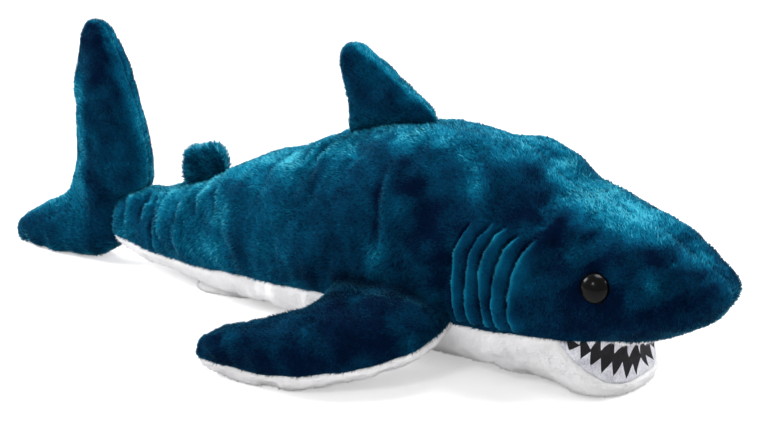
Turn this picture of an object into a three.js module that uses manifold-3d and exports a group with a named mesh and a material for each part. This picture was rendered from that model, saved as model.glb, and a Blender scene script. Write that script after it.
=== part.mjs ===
// Plush mako shark: sewn skin panels over polyester filling, plush fins hinged at their
// pinched root seams, and dome safety eyes held by washers inside the head.
// Millimetres. +X towards the nose, +Y to the shark's left, +Z up.
// The origin is on the floor, in the flat patch of the belly under the dorsal fin.
import * as THREE from 'three';
import { mergeVertices } from 'three/addons/utils/BufferGeometryUtils.js';
import Module from 'manifold-3d';

const wasm = await Module();
wasm.setup();

// Fabric and fits
const SKIN = 4;             // backing and pile of the plush together
const SEAM_GAP = 0.3;       // clearance between two sewn panels
const FILL_GAP = 0.6;       // clearance between the skin and the filling
const HINGE_GAP = 0.5;      // clearance at a pinched root seam that bends
const PINCH = 0.2;          // half thickness of a fin where its root is sewn flat
const FLAT_DEPTH = 0.5;     // how deep the resting toy is pressed flat by the floor

// The body and snout, station by station from the tail seam to the nose:
// the height of the back and of the underside, the widest height and the half width there
const BODY = [
  { x: -300, back: 79, belly: 22, widest: 48, half: 27 },
  { x: -255, back: 90, belly: 14, widest: 50, half: 36 },
  { x: -200, back: 108, belly: 9, widest: 57, half: 49 },
  { x: -110, back: 152, belly: 7, widest: 75, half: 69 },
  { x: 0, back: 194, belly: 0, widest: 91, half: 85 },
  { x: 75, back: 208, belly: 2, widest: 97, half: 90 },
  { x: 150, back: 200, belly: 5, widest: 98, half: 89 },
  { x: 205, back: 187, belly: 16, widest: 99, half: 84 },
  { x: 240, back: 174, belly: 47, widest: 99, half: 78 },
  { x: 285, back: 158, belly: 55, widest: 101, half: 66 },
  { x: 330, back: 137, belly: 72, widest: 106, half: 45 },
  { x: 364, back: 117, belly: 100, widest: 110, half: 17 },
];
const NOSE_ROUND = 14;      // length of the blunt rounding at the nose tip
const TAIL_SLOPE = 70;      // degrees between the pinched tail seam's side and its mid plane
const BACK_POWER = 2;       // roundness of the sections above the widest height
const BELLY_POWER = 2.6;    // fuller below it, where the toy's weight spreads it

// The lower jaw under the snout, a blunt round bow in plan
const JAW_START = 110;
const JAW_FRONT = 279;
const JAW_BOW = 60;         // length of the round front of the bow
const JAW_HALF = 71;
const THROAT_HALF = 58;     // half width where the jaw starts
const THROAT_LIFT = 5;      // it starts inside the body and comes down to the floor
const THROAT_POWER = 2;     // round below at the throat
const SQUARE_START = 223;   // from here its sections grow square over SQUARE_LENGTH
const SQUARE_LENGTH = 50;
const JAW_TOP = 82;         // hidden inside the snout
const JAW_WIDEST = 36;
const JAW_PLAN_POWER = 2.8;
const CHIN_POWER = 5;       // square below at the chin, where the floor presses it
const JAW_TOP_POWER = 3;
const JAW_LEAN = 0.14;      // forward lean of the jaw's front for each unit of height
const CHIN_ROUND = 7;       // the chin lifts off the floor over this length
const CHIN_LIFT = 2.5;

// Height of the seam between the blue back and the pale underside along the flank
const SEAM_LINE = [
  [-300, 39], [-240, 35], [-180, 37], [-120, 42], [-60, 48], [0, 53],
  [70, 56], [140, 59], [208, 62], [232, 62], [265, 63], [300, 66], [330, 77], [350, 92],
];

// The printed mouth panel on the jaw, seen from the side: its lower sewn edge from the corner
const MOUTH_EDGE = [[228, 62], [233, 53], [246, 38], [259, 25.5], [267, 18.5], [276, 14.5]];
const PALATE_START = 274;   // the snout's underside panel starts here, over the jaw's front

// Eyes: a dome on a flange and a shank, held by a washer behind the skin
const EYE = { x: 266, z: 113.5, flange: 15, flangeThick: 1.2, dome: 11.8, domeHeight: 8.5, sink: 1.5 };
const SHANK = { radius: 3.2, length: 12 };
const WASHER = { radius: 10, thick: 2.4, depth: 0.9 };
const EYE_CLEAR = 0.3;

// Fins, each in the frame of its root seam: u along the seam, v away from the body.
// A station gives the two ends of the fin at its distance v from the seam.
const FIN_POWER = 2.4;      // roundness of a fin's section
const DORSAL = {
  rear: -40, front: 62, half: 13, rootSlope: 48, tipRound: 12,
  outline: [
    { v: 0, trail: 6, lead: 103 }, { v: 14, trail: 10, lead: 97 }, { v: 30, trail: 12, lead: 85 },
    { v: 45, trail: 12, lead: 71 }, { v: 60, trail: 12, lead: 57 }, { v: 71, trail: 15, lead: 45 },
    { v: 79, trail: 25, lead: 37 },
  ],
};
const SECOND_DORSAL = {
  rear: -230, front: -170, half: 11, rootSlope: 48, tipRound: 9,
  outline: [
    { v: 0, trail: 3, lead: 60 }, { v: 10, trail: 5, lead: 64 }, { v: 19, trail: 11, lead: 63 },
    { v: 26, trail: 19, lead: 59 }, { v: 32, trail: 33, lead: 50 },
  ],
};
const PECTORAL = {
  rear: 4, front: 134, height: 56, droop: 20, half: 25, rootSlope: 40, tipRound: 24,
  outline: [
    { v: 0, trail: 0, lead: 130 }, { v: 12, trail: 2, lead: 129 }, { v: 28, trail: -3, lead: 126 },
    { v: 44, trail: -15, lead: 119 }, { v: 60, trail: -36, lead: 107 }, { v: 75, trail: -58, lead: 91 },
    { v: 90, trail: -73, lead: 70 }, { v: 104, trail: -79, lead: 43 }, { v: 114, trail: -68, lead: 12 },
    { v: 118, trail: -50, lead: -14 },
  ],
};
// The pelvic fins are flat flaps without filling, sewn under the belly
const PELVIC = {
  rear: -176, front: -133, out: 11, below: 2.6, droop: 5, half: 3, rootSlope: 30, tipRound: 5,
  outline: [
    { v: 0, trail: 0, lead: 43 }, { v: 4, trail: -20, lead: 34 }, { v: 8, trail: -25, lead: 25 },
    { v: 12, trail: -23, lead: 12 }, { v: 14.5, trail: -15, lead: 3 },
  ],
};

// Caudal fin, level by level: its rear and front ends behind the tail seam, at each height
const CAUDAL = {
  half: 22, rootSlope: 62,
  levels: [
    { z: 0, rear: 135, front: 38, half: 0.85 }, { z: 6, rear: 139, front: 24, half: 0.95 },
    { z: 15, rear: 139, front: 11, half: 1 }, { z: 26, rear: 129, front: 0, half: 1 },
    { z: 40, rear: 107, front: 0, half: 1 }, { z: 58, rear: 76, front: 0, half: 1 },
    { z: 79, rear: 65, front: 0, half: 1 }, { z: 88, rear: 63, front: -27, half: 1 },
    { z: 93, rear: 62, front: -31, half: 1 }, { z: 104, rear: 60, front: -31, half: 1 },
    { z: 125, rear: 58, front: -28, half: 1 }, { z: 160, rear: 58, front: -20, half: 0.95 },
    { z: 198, rear: 54, front: -5, half: 0.85 }, { z: 228, rear: 46, front: 9, half: 0.66 },
    { z: 240, rear: 38, front: 18, half: 0.4 }, { z: 245, rear: 33, front: 24, half: 0.1 },
  ],
};

// Fineness of the forms
const BODY_STEP = 95;
const NOSE_STEPS = 3;
const BODY_SIDES = 16;
const JAW_STATIONS = 6;
const FIN_SIDES = 10;
const EYE_SIDES = 16;

const NOSE = BODY[BODY.length - 1];
const TAIL = BODY[0];
const FAR = 2000;           // beyond the whole toy, for half spaces

// A smooth curve through [x, value] pairs that doesn't swing past them
function through(pairs) {
  const x = pairs.map((pair) => pair[0]);
  const y = pairs.map((pair) => pair[1]);
  const last = x.length - 1;
  const slope = x.slice(1).map((end, i) => (y[i + 1] - y[i]) / (end - x[i]));
  const tangent = x.map((_, i) => {
    if (i === 0) return slope[0];
    if (i === last) return slope[last - 1];
    if (slope[i - 1] * slope[i] <= 0) return 0;
    return (2 * slope[i - 1] * slope[i]) / (slope[i - 1] + slope[i]);
  });
  return (at) => {
    if (at <= x[0]) return y[0];
    if (at >= x[last]) return y[last];
    const i = x.findIndex((end, k) => k < last && at <= x[k + 1]);
    const width = x[i + 1] - x[i];
    const t = (at - x[i]) / width;
    const rise = y[i] * (1 + 2 * t) * (1 - t) ** 2 + y[i + 1] * t * t * (3 - 2 * t);
    return rise + width * (tangent[i] * t * (1 - t) ** 2 - tangent[i + 1] * t * t * (1 - t));
  };
}

const field = (name) => through(BODY.map((station) => [station.x, station[name]]));
const backAt = field('back');
const bellyAt = field('belly');
const widestAt = field('widest');
const halfAt = field('half');

const radians = (degrees) => (degrees * Math.PI) / 180;
const bow = (share, power) => (1 - Math.min(Math.abs(share), 1) ** power) ** (1 / power);

// A share of a circle's radius as the same share on a fin's squarer section
const squared = (share) => Math.sign(share) * Math.abs(share) ** (2 / FIN_POWER);

// Height of the body's underside at a place along it and a distance from its mid plane
function undersideAt(x, y) {
  const widest = widestAt(x);
  return widest - (widest - bellyAt(x) + FLAT_DEPTH) * bow(y / halfAt(x), BELLY_POWER);
}

// Half width of the body's surface at a place along it and a height
function sideAt(x, z) {
  const widest = widestAt(x);
  if (z > widest) return halfAt(x) * bow((z - widest) / (backAt(x) - widest), BACK_POWER);
  return halfAt(x) * bow((widest - z) / (widest - bellyAt(x) + FLAT_DEPTH), BELLY_POWER);
}

// A closed surface through rings of equal size, with its two ends filled from their middles
function loft(rings) {
  const sides = rings[0].length;
  const corners = rings.flat();
  const faces = [];
  for (let ring = 0; ring + 1 < rings.length; ring += 1) {
    for (let side = 0; side < sides; side += 1) {
      const next = (side + 1) % sides;
      const a = ring * sides + side;
      const b = ring * sides + next;
      faces.push(a, b, b + sides, a, b + sides, a + sides);
    }
  }
  const middle = (ring) => ring
    .reduce((sum, corner) => sum.add(corner), new THREE.Vector3())
    .divideScalar(sides);
  const start = corners.push(middle(rings[0])) - 1;
  const end = corners.push(middle(rings[rings.length - 1])) - 1;
  const lastRing = (rings.length - 1) * sides;
  for (let side = 0; side < sides; side += 1) {
    const next = (side + 1) % sides;
    faces.push(start, next, side, end, lastRing + side, lastRing + next);
  }
  const geometry = new THREE.BufferGeometry();
  const positions = corners.flatMap((corner) => corner.toArray());
  geometry.setAttribute('position', new THREE.Float32BufferAttribute(positions, 3));
  geometry.setIndex(faces);
  return solid(geometry);
}

// A closed geometry as a solid that can be joined and cut
function solid(source) {
  const bare = source.clone();
  bare.deleteAttribute('normal');
  bare.deleteAttribute('uv');
  const merged = mergeVertices(bare);
  const mesh = new wasm.Mesh({
    numProp: 3,
    vertProperties: new Float32Array(merged.attributes.position.array),
    triVerts: new Uint32Array(merged.index.array),
  });
  const made = new wasm.Manifold(mesh);
  return made.volume() < 0 ? flipped(mesh) : made;
}

function flipped(mesh) {
  const triVerts = mesh.triVerts.map((_, i, all) => all[i - (i % 3) + 2 - (i % 3)]);
  return new wasm.Manifold(new wasm.Mesh({ numProp: 3, vertProperties: mesh.vertProperties, triVerts }));
}

function geometryOf(made) {
  const { vertProperties, triVerts } = made.getMesh();
  const geometry = new THREE.BufferGeometry();
  geometry.setAttribute('position', new THREE.Float32BufferAttribute(vertProperties, 3));
  geometry.setIndex(Array.from(triVerts));
  return geometry;
}

// Everything on one side of a plane square to x, y or z
function beyond(axis, at, side) {
  const box = new THREE.BoxGeometry(FAR, FAR, FAR);
  const shift = new THREE.Vector3();
  shift.setComponent(axis, at + (side * FAR) / 2);
  return solid(box.translate(shift.x, shift.y, shift.z));
}

// A prism through the whole width of the toy from an outline of [x, z] points
function sidePrism(outline) {
  const shape = new THREE.Shape(outline.map(([x, z]) => new THREE.Vector2(x, z)));
  const prism = new THREE.ExtrudeGeometry(shape, { depth: FAR, bevelEnabled: false, curveSegments: 1 });
  return solid(prism.translate(0, 0, -FAR / 2).rotateX(Math.PI / 2));
}

// One section of the body or jaw, square to x. Its top, bottom and sides are flat facets,
// which lie at the heights and half width given.
function section(x, { back, belly, widest, half, topPower, lowPower }, sides) {
  const ring = [];
  const facet = Math.cos(Math.PI / sides);
  for (let side = 0; side < sides; side += 1) {
    const angle = (2 * Math.PI * (side + 0.5)) / sides;
    const [along, share] = [Math.cos(angle) / facet, Math.sin(angle) / facet];
    const up = share > 0;
    const reach = up ? back - widest : widest - belly;
    const power = up ? topPower : lowPower;
    const level = Math.sign(share) * Math.abs(share) ** (2 / power);
    const across = Math.sign(along) * Math.abs(along) ** (2 / power);
    ring.push(new THREE.Vector3(x, half * across, widest + reach * level));
  }
  return ring;
}

// The body and snout, drawn in from its outside by an inset (a negative inset grows it)
function bodyForm(inset) {
  const wedge = (halfAt(TAIL.x) - PINCH) / Math.tan(radians(TAIL_SLOPE));
  const start = TAIL.x + HINGE_GAP / 2 + (inset > 0 ? inset : 0);
  const end = NOSE.x - inset;
  const places = [start, start + wedge];
  BODY.slice(1).forEach((station, i) => {
    const length = station.x - BODY[i].x;
    const parts = Math.ceil(length / BODY_STEP);
    for (let part = 1; part <= parts; part += 1) {
      const x = BODY[i].x + (length * part) / parts;
      if (x > start + wedge + 1 && x < end - NOSE_ROUND - 1) places.push(x);
    }
  });
  for (let i = 0; i <= NOSE_STEPS; i += 1) {
    places.push(end - NOSE_ROUND * (1 - Math.sin((Math.PI / 2) * (i / NOSE_STEPS))));
  }
  const rings = places.map((x) => {
    const intoNose = Math.max(0, (x - (end - NOSE_ROUND)) / NOSE_ROUND);
    const blunt = Math.max(bow(intoNose, 2), 0.02);
    const pinched = PINCH + (x - start) * Math.tan(radians(TAIL_SLOPE));
    const widest = widestAt(x);
    return section(x, {
      back: widest + (backAt(x) - widest - inset) * blunt,
      belly: widest - (widest - bellyAt(x) + FLAT_DEPTH - inset) * blunt,
      widest,
      half: Math.min((halfAt(x) - inset) * blunt, pinched),
      topPower: BACK_POWER,
      lowPower: BELLY_POWER,
    }, BODY_SIDES);
  });
  return loft(rings);
}

// The lower jaw, with the same inset
function jawForm(inset) {
  const rings = [];
  for (let i = 0; i <= JAW_STATIONS; i += 1) {
    const share = Math.sin((Math.PI / 2) * (i / JAW_STATIONS));
    const x = JAW_START + (JAW_FRONT - inset - JAW_START) * share;
    const intoBow = Math.max(0, (x - (JAW_FRONT - JAW_BOW)) / (JAW_BOW - inset));
    const intoChin = Math.max(0, (x - (JAW_FRONT - CHIN_ROUND)) / (CHIN_ROUND - Math.min(inset, 0)));
    const widened = Math.min((x - JAW_START) / (JAW_FRONT - JAW_BOW - JAW_START), 1);
    const square = Math.min(Math.max((x - SQUARE_START) / SQUARE_LENGTH, 0), 1);
    const full = THROAT_HALF + (JAW_HALF - THROAT_HALF) * widened;
    const half = Math.max((full - inset) * bow(intoBow, JAW_PLAN_POWER), 2);
    const ring = section(x, {
      back: JAW_TOP - inset,
      belly: inset - FLAT_DEPTH + CHIN_LIFT * (1 - bow(Math.min(intoChin, 1), 2))
        + THROAT_LIFT * (1 - widened),
      widest: JAW_WIDEST,
      half,
      topPower: JAW_TOP_POWER,
      lowPower: THROAT_POWER + (CHIN_POWER - THROAT_POWER) * square,
    }, BODY_SIDES);
    const lean = JAW_LEAN * ((x - JAW_START) / (JAW_FRONT - JAW_START)) ** 2;
    ring.forEach((corner) => { corner.x += lean * (corner.z - JAW_WIDEST / 2); });
    rings.push(ring);
  }
  return loft(rings);
}

// The whole head and body, cut flat where it rests
function wholeForm(inset) {
  const floor = Math.max(inset, 0);
  return bodyForm(inset).add(jawForm(inset)).intersect(beyond(2, floor, 1));
}

// Straight line along a curved edge, moved out until the edge stays behind it
function hingeLine(edgeAt, rear, front) {
  const slope = (edgeAt(front) - edgeAt(rear)) / (front - rear);
  let proud = 0;
  const checks = 24;
  for (let i = 0; i <= checks; i += 1) {
    const x = rear + ((front - rear) * i) / checks;
    proud = Math.max(proud, edgeAt(x) - edgeAt(rear) - slope * (x - rear));
  }
  return { start: edgeAt(rear) + proud + HINGE_GAP, angle: Math.atan(slope) };
}

// The edge of an outline drawn in by an inset, square to the edge: side is 1 for an edge
// that moves towards greater values and -1 for one that moves towards smaller ones
function drawnIn(edgeAt, v, inset, side) {
  const checks = 8;
  let edge = -FAR;
  for (let i = -checks; i <= checks; i += 1) {
    const aside = (inset * i) / checks;
    edge = Math.max(edge, side * edgeAt(v + aside) + Math.sqrt(inset ** 2 - aside ** 2));
  }
  return side * edge;
}

// The corners of a fin's section, as shares of its half chord and its half thickness
function finSection() {
  const corners = [];
  for (let side = 0; side < FIN_SIDES; side += 1) {
    const angle = (2 * Math.PI * side) / FIN_SIDES;
    corners.push([Math.cos(angle), Math.sin(angle)].map(squared));
  }
  return corners;
}

// A fin as a pillow lofted away from its root seam, drawn in by an inset.
// flip turns the left fin's form into the right one's.
function finForm(fin, inset, flip = 1) {
  const trailAt = through(fin.outline.map((station) => [station.v, station.trail]));
  const leadAt = through(fin.outline.map((station) => [station.v, station.lead]));
  const tip = fin.outline[fin.outline.length - 1].v;
  const ramp = Math.tan(radians(fin.rootSlope));
  const rootStart = inset > 0 ? (inset * 1.15 + 0.6) / ramp + inset : 0;
  const full = (fin.half - PINCH) / ramp;
  const end = tip - inset;
  const between = [(rootStart + full) / 2, full, ...fin.outline.map(({ v }) => v)]
    .filter((v) => v > rootStart + 1 && v < end - 1)
    .sort((a, b) => a - b);
  const places = [rootStart, ...between, end];
  const rings = places.map((v) => {
    const intoTip = Math.min(1, Math.max(0, (v - (tip - fin.tipRound)) / (fin.tipRound - inset)));
    const round = Math.max(bow(intoTip, 2), 0.06);
    const thick = Math.max(Math.min((fin.half - inset) * round, PINCH + v * ramp - inset), 0.15);
    const trail = drawnIn(trailAt, v, inset, 1);
    const lead = Math.max(drawnIn(leadAt, v, inset, -1), trail + 1);
    return finSection().map(([across, up]) => {
      const u = (trail + lead) / 2 + ((lead - trail) / 2) * across;
      return new THREE.Vector3(u, flip * v, thick * up);
    });
  });
  return loft(rings);
}

// The caudal fin, lofted upwards behind its upright root seam, which is at x = 0 here
function caudalForm(inset) {
  const top = CAUDAL.levels[CAUDAL.levels.length - 1].z;
  const bottom = CAUDAL.levels[0].z;
  const at = (name) => through(CAUDAL.levels.map((level) => [level.z, level[name]]));
  const [rearAt, frontAt, halfShareAt] = [at('rear'), at('front'), at('half')];
  const heights = CAUDAL.levels.map(({ z }) => z).filter((z) => z > bottom + inset && z < top - inset);
  const slope = Math.tan(radians(CAUDAL.rootSlope));
  const rings = [bottom + inset, ...heights, top - inset].filter((z, i, all) => i === 0 || z > all[i - 1])
    .map((z) => {
      const front = frontAt(z) + HINGE_GAP / 2 + inset * 1.3;
      const rear = Math.max(rearAt(z) - inset, front + 1);
      const thick = Math.max(CAUDAL.half * halfShareAt(z) - inset, 0.3);
      return finSection().map(([along, up]) => {
        const behind = (front + rear) / 2 - ((rear - front) / 2) * along;
        const wedge = PINCH + (behind - front) * slope;
        return new THREE.Vector3(-behind, Math.sign(up) * Math.min(thick * Math.abs(up), wedge), z);
      });
    });
  return loft(rings);
}

const FINISH = {
  bluePlush: { color: 0x0c4f73, roughness: 0.95 },
  whitePlush: { color: 0xe4e0e2, roughness: 0.95 },
  mouthFabric: { color: 0xcfcad6, roughness: 0.8 },
  filling: { color: 0xf4f3ee, roughness: 1 },
  eye: { color: 0x050505, roughness: 0.08 },
  washer: { color: 0xdcdcd8, roughness: 0.4 },
};
const materials = Object.fromEntries(
  Object.entries(FINISH).map(([name, look]) => [name, new THREE.MeshStandardMaterial(look)]),
);

function piece(name, made, finish, parent) {
  const mesh = new THREE.Mesh(geometryOf(made), materials[finish]);
  mesh.name = name;
  parent.add(mesh);
  return mesh;
}

// Two skins split at the fin's mid plane, over a filling where the fin has one.
// The floor presses the fin flat: each layer stays its own depth above it.
function finPieces(name, form, axis, skins, parent, stuffed = true) {
  parent.updateMatrixWorld(true);
  const inside = parent.matrixWorld.clone().invert().elements;
  const resting = (inset) => form(inset).intersect(beyond(2, inset, 1).transform(inside));
  const shell = stuffed ? resting(0).subtract(resting(SKIN)) : resting(0);
  skins.forEach(({ label, finish, side }) => {
    const skin = shell.intersect(beyond(axis, (side * SEAM_GAP) / 2, side));
    piece(`${name}_${label}`, skin, finish, parent);
  });
  if (stuffed) piece(`${name}_filling`, resting(SKIN + FILL_GAP), 'filling', parent);
}

function buildBody(shark) {
  const outside = wholeForm(0);
  const shell = outside.subtract(wholeForm(SKIN));
  const seam = SEAM_LINE;
  const lastSeam = seam[seam.length - 1];
  const above = sidePrism([
    [-FAR, seam[0][1] + SEAM_GAP / 2], ...seam.map(([x, z]) => [x, z + SEAM_GAP / 2]),
    [lastSeam[0], -FAR], [FAR, -FAR], [FAR, FAR], [-FAR, FAR],
  ]);
  const below = sidePrism([
    [-FAR, seam[0][1] - SEAM_GAP / 2], ...seam.map(([x, z]) => [x, z - SEAM_GAP / 2]),
    [lastSeam[0] - SEAM_GAP, -FAR], [-FAR, -FAR],
  ]);
  const mouthZone = (grow) => sidePrism([
    ...MOUTH_EDGE.map(([x, z]) => [x - grow, z - grow]),
    [FAR, MOUTH_EDGE[MOUTH_EDGE.length - 1][1] - grow], [FAR, FAR], [MOUTH_EDGE[0][0] - grow, FAR],
  ]);
  const palateZone = (grow) => bodyForm(-grow).intersect(beyond(0, PALATE_START - grow, 1));

  const blue = cutForEyes(shell.intersect(above), eyeSeat());
  const under = shell.intersect(below);
  piece('back_skin_left', blue.intersect(beyond(1, SEAM_GAP / 2, 1)), 'bluePlush', shark);
  piece('back_skin_right', blue.intersect(beyond(1, -SEAM_GAP / 2, -1)), 'bluePlush', shark);
  const jawSide = under.subtract(palateZone(SEAM_GAP));
  piece('belly_skin', jawSide.subtract(mouthZone(SEAM_GAP)), 'whitePlush', shark);
  piece('mouth_panel', jawSide.intersect(mouthZone(0)), 'mouthFabric', shark);
  piece('snout_underside', under.intersect(palateZone(0)), 'whitePlush', shark);
  piece('body_filling', cutForEyes(wholeForm(SKIN + FILL_GAP), fillingPocket()), 'filling', shark);
}

// Where an eye sits on the head: its place, and the direction that it looks in
function eyePlace(side) {
  const step = 6;
  const along = (sideAt(EYE.x + step, EYE.z) - sideAt(EYE.x - step, EYE.z)) / (2 * step);
  const up = (sideAt(EYE.x, EYE.z + step) - sideAt(EYE.x, EYE.z - step)) / (2 * step);
  const point = new THREE.Vector3(EYE.x, side * sideAt(EYE.x, EYE.z), EYE.z);
  const look = new THREE.Vector3(-along, side, -up).normalize();
  return { point, look };
}

function placeOnHead(object, side) {
  const { point, look } = eyePlace(side);
  object.position.copy(point);
  object.quaternion.setFromUnitVectors(new THREE.Vector3(0, 0, 1), look);
  return object;
}

// A turned solid about the eye's own axis, from [radius, depth] points
function turned(profile) {
  const points = profile.map(([radius, depth]) => new THREE.Vector2(radius, depth));
  return solid(new THREE.LatheGeometry(points, EYE_SIDES).rotateX(Math.PI / 2));
}

const shankEnd = -SHANK.length - EYE.sink;
const washerTop = -(SKIN + WASHER.depth);
const washerRoom = {
  hole: SHANK.radius + EYE_CLEAR,
  pocket: WASHER.radius + EYE_CLEAR,
  back: washerTop - WASHER.thick - EYE_CLEAR,
};

// Room in the skin for an eye: a seat for its flange, a hole for its shank, and the dent that
// the flat washer presses into the curved fabric from behind
function eyeSeat() {
  const { hole, pocket, back } = washerRoom;
  const seat = EYE.flange + EYE_CLEAR;
  const seatDepth = -EYE.sink - EYE_CLEAR;
  return turned([
    [0, shankEnd - EYE_CLEAR], [hole, shankEnd - EYE_CLEAR], [hole, back], [pocket, back],
    [pocket, washerTop + EYE_CLEAR], [hole, washerTop + EYE_CLEAR], [hole, seatDepth],
    [seat, seatDepth], [seat, EYE.domeHeight], [0, EYE.domeHeight],
  ]);
}

// Room in the filling for the shank and for the washer, open to the skin in front of it
function fillingPocket() {
  const { hole, pocket, back } = washerRoom;
  return turned([
    [0, shankEnd - EYE_CLEAR], [hole, shankEnd - EYE_CLEAR], [hole, back], [pocket, back],
    [pocket, 0], [0, 0],
  ]);
}

function cutForEyes(made, room) {
  return [1, -1].reduce((cut, side) => {
    const place = placeOnHead(new THREE.Object3D(), side);
    place.updateMatrix();
    return cut.subtract(room.transform(place.matrix.elements));
  }, made);
}

function buildEye(name, side, shark) {
  const dome = [];
  const domeSteps = 6;
  for (let i = 0; i <= domeSteps; i += 1) {
    const angle = (Math.PI / 2) * (i / domeSteps);
    const rim = EYE.flangeThick - EYE.sink;
    dome.push([EYE.dome * Math.cos(angle), rim + (EYE.domeHeight - rim) * Math.sin(angle)]);
  }
  dome[domeSteps][0] = 0;
  const profile = [
    [0, shankEnd], [SHANK.radius, shankEnd],
    [SHANK.radius, -EYE.sink], [EYE.flange, -EYE.sink], [EYE.flange, EYE.flangeThick - EYE.sink],
    ...dome,
  ];
  placeOnHead(piece(`eye_${name}`, turned(profile), 'eye', shark), side);
  const bore = SHANK.radius + EYE_CLEAR;
  const ring = [
    [bore, washerTop - WASHER.thick], [WASHER.radius, washerTop - WASHER.thick],
    [WASHER.radius, washerTop], [bore, washerTop], [bore, washerTop - WASHER.thick],
  ];
  placeOnHead(piece(`eye_washer_${name}`, turned(ring), 'washer', shark), side);
}

// A fin that stands on the back, leaning side to side about its root seam
function buildUprightFin(name, fin, shark) {
  const line = hingeLine(backAt, fin.rear, fin.front);
  const group = new THREE.Group();
  group.position.set(fin.rear, 0, line.start);
  group.rotation.y = -line.angle;
  shark.add(group);
  const stand = new THREE.Group();
  stand.rotation.x = Math.PI / 2;
  group.add(stand);
  finPieces(name, (inset) => finForm(fin, inset), 2, [
    { label: 'skin_right', finish: 'bluePlush', side: 1 },
    { label: 'skin_left', finish: 'bluePlush', side: -1 },
  ], stand);
}

// The pectoral fin at the flank, drooping to the floor
function buildPectoral(name, side, shark) {
  const line = hingeLine((x) => sideAt(x, PECTORAL.height), PECTORAL.rear, PECTORAL.front);
  const group = new THREE.Group();
  group.position.set(PECTORAL.rear, side * line.start, PECTORAL.height);
  group.rotation.set(-side * radians(PECTORAL.droop), 0, side * line.angle, 'ZYX');
  shark.add(group);
  finPieces(`pectoral_${name}`, (inset) => finForm(PECTORAL, inset, side), 2, [
    { label: 'top_skin', finish: 'bluePlush', side: 1 },
    { label: 'bottom_skin', finish: 'whitePlush', side: -1 },
  ], group);
}

// The pelvic fin, a flap between the belly and the floor
function buildPelvic(name, side, shark) {
  const line = hingeLine((x) => -undersideAt(x, PELVIC.out), PELVIC.rear, PELVIC.front);
  const group = new THREE.Group();
  group.position.set(PELVIC.rear, side * PELVIC.out, -line.start - PELVIC.below);
  group.rotation.set(-side * radians(PELVIC.droop), line.angle, 0, 'YXZ');
  shark.add(group);
  finPieces(`pelvic_${name}`, (inset) => finForm(PELVIC, inset, side), 2, [
    { label: 'top_skin', finish: 'whitePlush', side: 1 },
    { label: 'bottom_skin', finish: 'whitePlush', side: -1 },
  ], group, false);
}

function buildCaudal(shark) {
  const group = new THREE.Group();
  group.position.set(TAIL.x, 0, 0);
  shark.add(group);
  finPieces('caudal', caudalForm, 1, [
    { label: 'skin_left', finish: 'bluePlush', side: 1 },
    { label: 'skin_right', finish: 'bluePlush', side: -1 },
  ], group);
}

const shark = new THREE.Group();
buildBody(shark);
buildUprightFin('dorsal', DORSAL, shark);
buildUprightFin('second_dorsal', SECOND_DORSAL, shark);
[['left', 1], ['right', -1]].forEach(([name, side]) => {
  buildPectoral(name, side, shark);
  buildPelvic(name, side, shark);
  buildEye(name, side, shark);
});
buildCaudal(shark);

export default shark;
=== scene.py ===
"""Plush mako shark: sewn plush panels with their pile, plush fins that bend at their root
seams, a printed mouth and glossy safety eyes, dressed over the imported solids.

Sizes are written in millimetres and become metres when a mesh is made."""

import logging
import math
from contextlib import contextmanager
from dataclasses import dataclass
from enum import Enum
from functools import cache
from typing import Callable, Iterator, NamedTuple, Sequence

import bmesh
import bpy
import numpy as np
from mathutils import Matrix, Vector, kdtree


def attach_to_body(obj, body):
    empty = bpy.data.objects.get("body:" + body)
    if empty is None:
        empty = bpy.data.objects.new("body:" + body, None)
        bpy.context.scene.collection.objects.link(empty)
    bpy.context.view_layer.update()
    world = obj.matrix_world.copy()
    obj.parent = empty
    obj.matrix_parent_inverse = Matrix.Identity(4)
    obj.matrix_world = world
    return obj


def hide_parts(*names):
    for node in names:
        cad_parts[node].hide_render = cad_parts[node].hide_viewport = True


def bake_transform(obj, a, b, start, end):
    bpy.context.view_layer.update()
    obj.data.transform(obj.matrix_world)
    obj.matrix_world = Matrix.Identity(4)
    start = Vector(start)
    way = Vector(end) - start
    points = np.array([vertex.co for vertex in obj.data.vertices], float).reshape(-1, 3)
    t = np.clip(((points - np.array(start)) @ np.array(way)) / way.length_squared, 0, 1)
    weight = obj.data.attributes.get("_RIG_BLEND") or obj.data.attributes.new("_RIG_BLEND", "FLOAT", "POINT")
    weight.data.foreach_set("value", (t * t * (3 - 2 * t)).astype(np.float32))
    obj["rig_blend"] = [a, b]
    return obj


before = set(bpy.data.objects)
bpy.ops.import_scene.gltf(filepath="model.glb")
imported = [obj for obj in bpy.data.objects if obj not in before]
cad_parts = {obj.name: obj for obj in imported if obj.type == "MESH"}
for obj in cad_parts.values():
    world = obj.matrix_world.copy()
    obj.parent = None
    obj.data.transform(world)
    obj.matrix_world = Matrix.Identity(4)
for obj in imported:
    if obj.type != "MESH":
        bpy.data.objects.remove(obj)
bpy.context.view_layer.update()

log = logging.getLogger("shark")
MM = 0.001
Array = np.ndarray
Piece, Mesh, Material = bpy.types.Object, bpy.types.Mesh, bpy.types.Material
Node, NodeTree, Socket = bpy.types.Node, bpy.types.NodeTree, bpy.types.NodeSocket
BMesh = bmesh.types.BMesh
Field = Callable[[Array], Array]
Attach = Callable[[Piece], None]


# Curves and numbers that the forms share


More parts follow.
